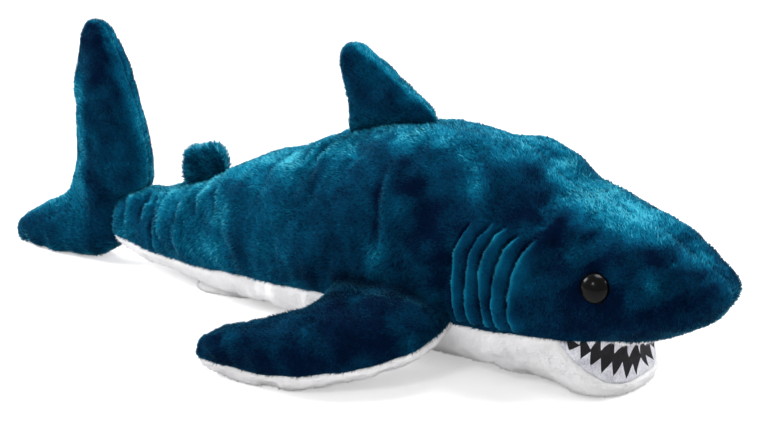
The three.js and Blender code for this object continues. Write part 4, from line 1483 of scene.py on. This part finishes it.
@dataclass
class Fin:
    """A plush fin as a pillow that grows away from its root seam.

    The rows of its outline give a distance from the seam and the fin's trailing and leading ends there.
    """

    name: str
    body: str
    origin: tuple[float, float, float]
    along: tuple[float, float, float]
    away: tuple[float, float, float]
    outline: tuple[tuple[float, float, float], ...]
    half: float
    root_slope: float
    tip_round: float
    skins: tuple[Panel, ...] = ()
    up: int = 1
    filling: str | None = None
    inset: float = 1.4
    pitch: float = 3.4
    cap: float = 2.2
    comb_way: tuple[float, float, float] = (-1, 0, 0.2)
    bend: float = 14
    power: float = 2.4
    seam_up: float = 0
    root_depth: float = 7
    root_half: float = 4
    under: float = 1
    tone: float = 0.14
    # Painted highlight round the fin's edge, and the lit direction that it favours (none: all round)
    edge_tone: float = 0.42
    edge_way: tuple[float, float, float] = (0, 0, 0)

    RINGS, SIDES, SMOOTHED = 44, 40, 3
    FLOOR = 1.0
    DRIFT, DRIFT_SEED, DRIFT_FLOOR = 0.5, 40, 0.9
    FILL = 0.7
    SOFTLY_HELD = 6.0
    WADDING_PITCH, WADDING_START = 5.0, 6.0
    WADDING_INSET, WADDING_SHARE = 6.5, 0.4
    FIRST_SEED = 1000

    def place(self) -> Matrix:
        """The fin's own frame: along its seam, away from the body, and through its thickness."""
        along, away = Vector(self.along).normalized(), Vector(self.away).normalized()
        through = along.cross(away) * self.up
        turn = Matrix((along, away, through)).transposed().to_4x4()
        return Matrix.Translation(Vector(self.origin) * MM) @ turn

    def form(self, inset: float, name: str, pitch: float, deep: float) -> Piece:
        """The fin's closed form in the toy's frame.

        Args:
            inset: how far inside the tips of the pile it lies.
            name: name of the object.
            pitch: size of its faces.
            deep: how far below its root seam it starts.

        Returns:
            The form.
        """
        trail, lead = curves(self.outline)
        tip = self.outline[-1][0]
        ramp = math.tan(math.radians(self.root_slope))
        levels = (tip - inset + deep) * np.sin(np.linspace(0, math.pi / 2, self.RINGS)) - deep

        def place(across: Array, level: Array, ring: Array) -> Array:
            v = levels[ring]
            into_tip = np.clip((v - (tip - self.tip_round)) / (self.tip_round - inset), 0, 1)
            blunt = np.maximum(bow(into_tip, 2), 0.06)
            full = np.maximum((self.half - inset) * blunt, 0.4)
            thick = lesser(full, self.root_half + np.maximum(v, 0) * ramp)
            thick = thick * np.where(level * self.up < 0, self.under, 1)
            low = trail(v) + inset
            high = np.maximum(lead(v) - inset, low + 1)
            u = (low + high) / 2 + (high - low) / 2 * rounded(across, self.power)
            return np.stack([u, v, thick * rounded(level, self.power)], 1)

        bm = lofted(self.SIDES, len(levels), place)
        bmesh.ops.transform(bm, matrix=self.place(), verts=bm.verts)
        bmesh.ops.recalc_face_normals(bm, faces=bm.faces)
        return self.fused(new_object(name, bm), pitch)

    def fused(self, made: Piece, pitch: float) -> Piece:
        """A form with an even skin that stays above the floor."""
        remesh(made, pitch, self.SMOOTHED)
        press(made, self.FLOOR)
        return made

    def local(self, points: Array) -> Array:
        """Points of the toy in the fin's own frame, in millimetres."""
        inverse = np.array(self.place().inverted())
        return points @ inverse[:3, :3].T + inverse[:3, 3] / MM

    def split(self, points: Array) -> Array:
        """Positive on one side of the seam round the fin's edge."""
        return self.local(points)[:, 2] - self.seam_up

    def build(self, number: int) -> None:
        """Makes the fin's skins with their pile, and its filling.

        Args:
            number: the fin's place in the order, which seeds its pile.
        """
        form = self.form(self.inset, f"{self.name}_form", self.pitch, self.root_depth)
        if self.filling:
            local = self.local(coords_of(form.data))
            near = np.minimum(np.abs(local[:, 2]) - 2, local[:, 1] - 4)
            Cloth.swell(form, np.clip(1 - near / self.SOFTLY_HELD, 0, 1), self.cap)
            press(form, self.FLOOR)
        subdivide(form)
        push_out(form.data, self.DRIFT * Waves(self.DRIFT_SEED + number, 30)(coords_of(form.data)))
        press(form, self.DRIFT_FLOOR)
        with edited(form.data) as bm:
            cut_along(bm, self.split)
        for layer, panel in enumerate(self.skins):
            piece, plush = panel.cut_from(form), panel.plush
            comb(piece.data, self.comb_way, self.nap_tone(piece.data, plush))
            seed = self.FIRST_SEED + 10 * number + layer
            Pile(plush).grow(panel.pile_name, piece, seed, self.attach)
            panel.finish(piece, plush.backing(), plush.slot, self.attach, self.FILL)
        remove(form)
        if self.filling:
            inset = self.inset + min(self.WADDING_INSET, self.WADDING_SHARE * self.half)
            wadding = self.form(inset, f"{self.name}_wadding", self.WADDING_PITCH, -self.WADDING_START)
            Wadding.dress(wadding, self.filling, self.attach)

    def nap_tone(self, mesh: Mesh, plush: Plush) -> Array:
        """How light the nap is painted: deep on a fin's flat sides, with a painted highlight round its edge,
        only where the edge faces the lit direction if one is given.
        """
        if plush.shade is Shade.WHITE:
            return np.full(len(mesh.vertices), WHITE_TONE)
        through = np.array(self.place().to_3x3())[:, 2]
        normals = normals_of(mesh)
        # painted highlight where the edge turns across the fin, weighted towards the lit direction
        turned = 1 - np.abs(normals @ through)
        shown = eased(0.5 + normals @ np.array(self.edge_way)) if any(self.edge_way) else 1
        return self.tone + self.edge_tone * shown * eased(turned / 0.8)

    def attach(self, piece: Piece) -> None:
        """Lets a piece bend with the fin over the first stretch beyond its root seam."""
        start = Vector(self.origin) * MM
        end = start + Vector(self.away).normalized() * self.bend * MM
        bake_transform(piece, "body", self.body, start=start, end=end)


@dataclass
class TailFin(Fin):
    """The upright caudal fin, lofted from level to level behind its root seam.

    Each level gives its height, the fin's rear and front behind the seam, and its share of the thickness.
    """

    levels: tuple[tuple[float, float, float, float], ...] = (
        (0, 141, 38, 0.85), (6, 143, 24, 0.95), (15, 142, 11, 1), (26, 134, 0, 1), (40, 112, 0, 1),
        (58, 78, 0, 1), (68, 68, 0, 1), (76, 65, -10, 1), (82, 64, -27, 1), (87, 63, -31, 1),
        (104, 60, -31, 1), (125, 58, -28, 1), (160, 58, -20, 0.95),
        (198, 54, -5, 0.85), (228, 49, 9, 0.66), (240, 45, 17, 0.4), (245, 40, 22, 0.1),
    )

    RINGS, SIDES = 90, 48
    # The root seam's lower and upper end, each with the height over which it begins
    ROOT_LOW, ROOT_LOW_EDGE, ROOT_HIGH, ROOT_HIGH_EDGE = 16, 12, 82, 8
    ROOT_CALM, SHARP = 0.4, 6
    # The painted highlight along the rear edge: where it starts, where it ends upwards, and its strengths
    REAR_FROM, REAR_EDGE, REAR_HIGH, REAR_HIGH_EDGE = 28, 16, 215, 50
    REAR_TONE, UPPER_TONE, UPPER_FROM, UPPER_EDGE = 0.2, 0.28, 45, 40

    def form(self, inset: float, name: str, pitch: float, deep: float) -> Piece:
        """The tail fin's closed form; see Fin.form."""
        rear, front, share = curves(self.levels)
        slope = math.tan(math.radians(self.root_slope))
        top = self.levels[-1][0] - inset
        heights = inset + (top - inset) * np.linspace(0, 1, self.RINGS)

        def place(across: Array, level: Array, ring: Array) -> Array:
            z = heights[ring]
            above = eased((z - self.ROOT_LOW) / self.ROOT_LOW_EDGE)
            at_root = above * eased((self.ROOT_HIGH - z) / self.ROOT_HIGH_EDGE)
            near = front(z) + inset - (inset + deep) * at_root
            far = np.maximum(rear(z) - inset, near + 1)
            behind = (near + far) / 2 - (far - near) / 2 * rounded(across, self.power)
            thick = np.maximum(self.half * share(z) - inset, 0.4) * np.abs(rounded(level, self.power))
            opened = (behind - near) * slope * (1 - self.ROOT_CALM * at_root)
            wedge = 1 + (self.root_half - 1) * at_root + opened
            y = np.sign(level) * lesser(thick, wedge, self.SHARP)
            return np.stack([self.origin[0] - behind, y, z], 1)

        return self.fused(new_object(name, lofted(self.SIDES, len(heights), place)), pitch)

    def split(self, points: Array) -> Array:
        """Positive on the left side."""
        return points[:, 1]

    def nap_tone(self, mesh: Mesh, plush: Plush) -> Array:
        """As on every fin, with a painted highlight along its rear edge that grows stronger upwards and fades
        out near its top.
        """
        points = coords_of(mesh)
        behind, z = self.origin[0] - points[:, 0], points[:, 2]
        low = eased((self.REAR_HIGH - z) / self.REAR_HIGH_EDGE)
        rear = eased((behind - self.REAR_FROM) / self.REAR_EDGE) * low
        upper = self.UPPER_TONE * eased((z - self.UPPER_FROM) / self.UPPER_EDGE)
        return super().nap_tone(mesh, plush) + (self.REAR_TONE + upper) * rear


class SafetyEye:
    """A glossy dome eye with its rim, held by a washer behind the plush."""

    X, Z = 266.0, 113.5
    SEGMENTS = 64
    RIM = 14.2
    DOME = 13.2
    HEIGHT = 9.2
    SHANK = 3.2
    SHANK_END = -12.5

    @classmethod
    def place(cls, body: Body, side: Side) -> tuple[Array, Vector]:
        """Where an eye sits on the head.

        Args:
            body: the body that it is on.
            side: which flank.

        Returns:
            Its place in millimetres and the direction that it looks in.
        """
        step = 6.0

        def half_at(x: float, z: float) -> float:
            return float(body.side_at(np.array([x]), np.array([z]))[0])

        along = (half_at(cls.X + step, cls.Z) - half_at(cls.X - step, cls.Z)) / (2 * step)
        up = (half_at(cls.X, cls.Z + step) - half_at(cls.X, cls.Z - step)) / (2 * step)
        look = Vector((-along, side.value, -up)).normalized()
        return np.array([cls.X, side.value * half_at(cls.X, cls.Z), cls.Z]), look

    @classmethod
    def from_eye(cls, body: Body, side: Side, points: Array) -> Array:
        """How far points of the body are from the middle of an eye."""
        return np.linalg.norm(points - cls.place(body, side)[0], axis=1)

    @classmethod
    def profile(cls) -> list[tuple[float, float]]:
        """The shank, rim and dome from the axis outwards and back, as radius and height."""
        rim, dome = cls.RIM, cls.DOME
        points = [(0, cls.SHANK_END), (cls.SHANK, cls.SHANK_END), (cls.SHANK, -3.6), (rim - 0.3, -3.6)]
        points += [(rim, -3.4), (rim, -3.2), (rim - 0.3, -3.0), (dome + 0.6, -2.8), (dome, -2.5)]
        for angle in np.linspace(0.03, math.pi / 2, 15):
            points.append((dome * math.cos(angle), -0.2 + (cls.HEIGHT + 0.2) * math.sin(angle)))
        points[-1] = (0, cls.HEIGHT)
        return points

    @classmethod
    def build(cls, body: Body, side: Side) -> None:
        """Turns one eye about its own axis and seats it.

        Args:
            body: the body that it is on.
            side: which flank.
        """
        label = side.name.lower()
        bm = bmesh.new()
        verts = [bm.verts.new((r * MM, 0, z * MM)) for r, z in cls.profile()]
        edges = [bm.edges.new(pair) for pair in zip(verts, verts[1:])]
        bmesh.ops.spin(bm, geom=verts + edges, cent=(0, 0, 0), axis=(0, 0, 1), angle=math.tau,
                       steps=cls.SEGMENTS, use_merge=True, dvec=(0, 0, 0))
        bmesh.ops.remove_doubles(bm, verts=bm.verts, dist=1e-6)
        bmesh.ops.recalc_face_normals(bm, faces=bm.faces)
        point, look = cls.place(body, side)
        turn = Vector((0, 0, 1)).rotation_difference(look).to_matrix().to_4x4()
        bmesh.ops.transform(bm, matrix=Matrix.Translation(Vector(point) * MM) @ turn, verts=bm.verts)
        eye = new_object(f"safety_eye_{label}", bm)
        eye.data.shade_smooth()
        wear(eye, cls.material())
        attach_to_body(eye, "body")
        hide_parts(f"eye_{label}")
        wear(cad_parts[f"eye_washer_{label}"], cls.washer_material())
        log.info("%s: %d faces", eye.name, len(eye.data.polygons))

    @staticmethod
    @cache
    def material() -> Material:
        """Polished black plastic with the faintest wear in its gloss."""
        material, nodes, surface = blank_material("polished_eye")
        smear = nodes.noise(nodes.object_place(), 140)
        nodes.feed(surface, {
            "Base Color": (0.001, 0.001, 0.0012, 1), "Roughness": nodes.spread(smear, 0.17, 0.22),
            "Specular IOR Level": 0.1,
        })
        return material

    @staticmethod
    @cache
    def washer_material() -> Material:
        """Moulded white plastic, a little uneven."""
        material, nodes, surface = blank_material("moulded_washer")
        cloud = nodes.noise(nodes.object_place(), 300)
        colour = nodes.ramp(cloud, ((0.66, 0.66, 0.64), (0.76, 0.76, 0.74)), (0.3, 0.7))
        nodes.feed(surface, {"Base Color": colour, "Roughness": 0.4})
        return material


def side_skins(name: str, plush: Plush) -> tuple[Panel, ...]:
    """The right and left skins of an upright fin."""
    def skin(label: str, side: int) -> Panel:
        return Panel(f"{name}_plush_{label}", lambda p: side * p[:, 1], f"{name}_skin_{label}", plush,
                     f"{name}_pile_{label}")

    return skin("right", -1), skin("left", 1)


def level_skins(fin: Fin, top: Plush, bottom: Plush, *cloth: float) -> tuple[Panel, ...]:
    """The top and bottom skins of a fin at the flank.

    Args:
        fin: the fin.
        top: plush of its upper side.
        bottom: plush of its underside.
        cloth: thickness of the cloth and depth of its rolled edge, where they aren't a panel's usual ones.

    Returns:
        The two panels.
    """
    def skin(label: str, side: int, plush: Plush) -> Panel:
        return Panel(f"{fin.name}_plush_{label}", lambda p: side * fin.split(p),
                     f"{fin.name}_{label}_skin", plush, f"{fin.name}_pile_{label}", *cloth)

    return skin("top", 1, top), skin("bottom", -1, bottom)


def dorsal_fins() -> list[Fin]:
    """The two fins on the back."""
    first = Fin(
        "dorsal", "dorsal_fin", (-40, 0, 184.32), (0.96886, 0, 0.24759), (-0.24759, 0, 0.96886),
        ((0, 4, 109), (14, 9, 101), (30, 12, 87), (45, 12, 71), (60, 12, 57), (71, 15, 45), (79, 25, 37)),
        half=13, root_slope=60, tip_round=12, skins=side_skins("dorsal", BLUE_PLUSH),
        filling="dorsal_filling", comb_way=(-0.5, 0, 1), tone=0.24,
    )
    second = Fin(
        "second_dorsal", "second_dorsal_fin", (-230, 0, 97.93), (0.92661, 0, 0.37604), (-0.37604, 0, 0.92661),
        ((0, 2, 64), (10, 3, 65.5), (19, 9, 62.5), (25, 16.5, 56.5), (30.5, 27, 46)),
        half=11, root_slope=60, tip_round=9, skins=side_skins("second_dorsal", SHAGGY_BLUE),
        filling="second_dorsal_filling", inset=3.4, pitch=3.0, cap=1.6, comb_way=(-0.4, 0, 1), tone=0.34,
    )
    return [first, second]


def pectoral_fin(side: Side) -> Fin:
    """One of the big fins at the flanks, blue above and white below."""
    label, way = side.name.lower(), side.value
    name = f"pectoral_{label}"
    away = (-0.02134, 0.93945 * way, -0.34202)
    fin = Fin(
        name, f"pectoral_fin_{label}", (4, 85.27 * way, 56), (0.99974, 0.02271 * way, 0), away,
        ((0, 0, 130), (12, 2, 129), (28, 0, 126), (44, -7, 119), (60, -23, 107), (75, -43, 92),
         (90, -59, 71), (105, -72, 44), (115, -71, 13), (119, -56, -14)),
        half=25, root_slope=52, tip_round=13, up=way, filling=f"{name}_filling",
        comb_way=(-0.7, way, -0.3), tone=0.03, edge_tone=0.7, edge_way=(-0.5, -0.6 * way, 0.4), seam_up=-0.5,
        root_half=21, root_depth=14, under=1.28,
    )
    fin.skins = level_skins(fin, BLUE_PLUSH, WHITE_PLUSH)
    return fin


def pelvic_fin(side: Side) -> Fin:
    """One of the small flat flaps under the tail end of the belly."""
    label, way = side.name.lower(), side.value
    fin = Fin(
        f"pelvic_{label}", f"pelvic_fin_{label}", (-176, 11 * way, 5.044), (0.99981, 0, -0.01925),
        (-0.00168, 0.99619 * way, -0.08714),
        ((0, 0, 43), (4, -18, 38), (8, -23, 32), (12, -21, 20), (15.5, -13, 8)),
        half=8, root_slope=70, tip_round=6, up=way, inset=0.4, pitch=1.6, seam_up=-3.5,
        comb_way=(-0.7, way, 0), bend=4,
    )
    fin.skins = level_skins(fin, WHITE_PLUSH, WHITE_PLUSH, 0.6, 0.3)
    return fin


def tail_fin() -> TailFin:
    """The upright fin at the end of the tail."""
    return TailFin(
        "caudal", "caudal_fin", (-300, 0, 0), (0, 0, 1), (-1, 0, 0), (), half=22, root_slope=68, tip_round=12,
        skins=side_skins("caudal", BLUE_PLUSH), filling="caudal_filling", comb_way=(-0.4, 0, 1), tone=0.07,
    )


class Studio:
    """A pale floor, plain soft lamps and the photograph's camera."""

    AZIMUTH, ELEVATION, DISTANCE = 34.0, 19.0, 2.4
    # The lens gives 2608 pixels of focal length on a picture 760 pixels wide
    SENSOR = 36
    LENS = 2608 / 760 * SENSOR
    TARGET = Vector((0, 0, 0.107))
    FLOOR_GLOW = 0.46
    LIGHT, SHOWN = 0.36, 1.0
    # Each lamp's name, place in metres, side in metres and power in watts
    LAMPS = (
        ("left_lamp", (-2.0, -0.7, 1.5), 0.9, 60), ("top_lamp", (0.3, 0.6, 2.3), 1.2, 60),
        ("right_lamp", (2.0, 1.3, 1.2), 0.9, 40), ("near_lamp", (0.3, -2.6, 1.9), 0.45, 22),
    )

    def camera(self) -> None:
        """Puts the camera at the photograph's viewing angle."""
        around, up = math.radians(self.AZIMUTH), math.radians(self.ELEVATION)
        back = Vector((math.sin(around) * math.cos(up), -math.cos(around) * math.cos(up), math.sin(up)))
        data = bpy.data.cameras.new("view")
        data.lens, data.sensor_width = self.LENS, self.SENSOR
        bpy.context.scene.camera = self.aimed("view", data, self.TARGET + back * self.DISTANCE, back)

    @staticmethod
    def aimed(name: str, data: bpy.types.ID, place: Sequence[float], back: Vector) -> Piece:
        """A camera or lamp at a place, with the direction that its back is turned in."""
        made = bpy.data.objects.new(name, data)
        made.location = place
        made.rotation_euler = back.to_track_quat("Z", "Y").to_euler()
        bpy.context.scene.collection.objects.link(made)
        return made

    def floor(self) -> None:
        """A wide white floor that keeps the toy's shadow."""
        bm = bmesh.new()
        bmesh.ops.create_grid(bm, x_segments=2, y_segments=2, size=6)
        floor = new_object("floor", bm)
        material, nodes, surface = blank_material("paper_floor")
        seen = nodes.add("ShaderNodeLightPath").outputs["Is Camera Ray"]
        nodes.feed(surface, {
            "Base Color": (0.88, 0.88, 0.89, 1), "Roughness": 0.9, "Emission Color": (1, 1, 1, 1),
            "Emission Strength": nodes.math("MULTIPLY", seen, self.FLOOR_GLOW),
        })
        floor.data.materials.append(material)

    def world(self) -> None:
        """Even light from all sides behind a white background."""
        world = bpy.data.worlds.new("studio")
        world.use_nodes = True
        world.node_tree.nodes.clear()
        nodes = Nodes(world.node_tree)
        seen = nodes.add("ShaderNodeLightPath").outputs
        clear = nodes.math("MAXIMUM", seen["Is Glossy Ray"], seen["Is Transmission Ray"])
        shown = nodes.math("MAXIMUM", seen["Is Camera Ray"], clear)
        strength = nodes.spread(shown, self.LIGHT, self.SHOWN)
        light = nodes.add("ShaderNodeBackground", {"Strength": strength}).outputs["Background"]
        nodes.add("ShaderNodeOutputWorld", {"Surface": light})
        bpy.context.scene.world = world

    def lamp(self, name: str, place: tuple[float, float, float], size: float, power: float) -> None:
        """One soft square lamp that faces the toy.

        Args:
            name: the lamp's name.
            place: where it hangs, in metres.
            size: the length of its side, in metres.
            power: its power, in watts.
        """
        data = bpy.data.lights.new(name, "AREA")
        data.size, data.energy = size, power
        self.aimed(name, data, place, Vector(place) - self.TARGET)

    def build(self) -> None:
        """Sets up everything round the toy."""
        self.camera()
        self.floor()
        self.world()
        for lamp in self.LAMPS:
            self.lamp(*lamp)
        bpy.context.scene.view_settings.view_transform = "Standard"


def main() -> None:
    """Builds the toy sub-assembly by sub-assembly, then the studio round it."""
    logging.basicConfig(level=logging.INFO, format="%(name)s: %(message)s")
    body = Body()
    body.build()
    fins = dorsal_fins() + [tail_fin()]
    for side in Side:
        fins += [pectoral_fin(side), pelvic_fin(side)]
    for number, fin in enumerate(fins):
        fin.build(number)
    for side in Side:
        SafetyEye.build(body, side)
    Studio().build()


if __name__ == "__main__":
    main()
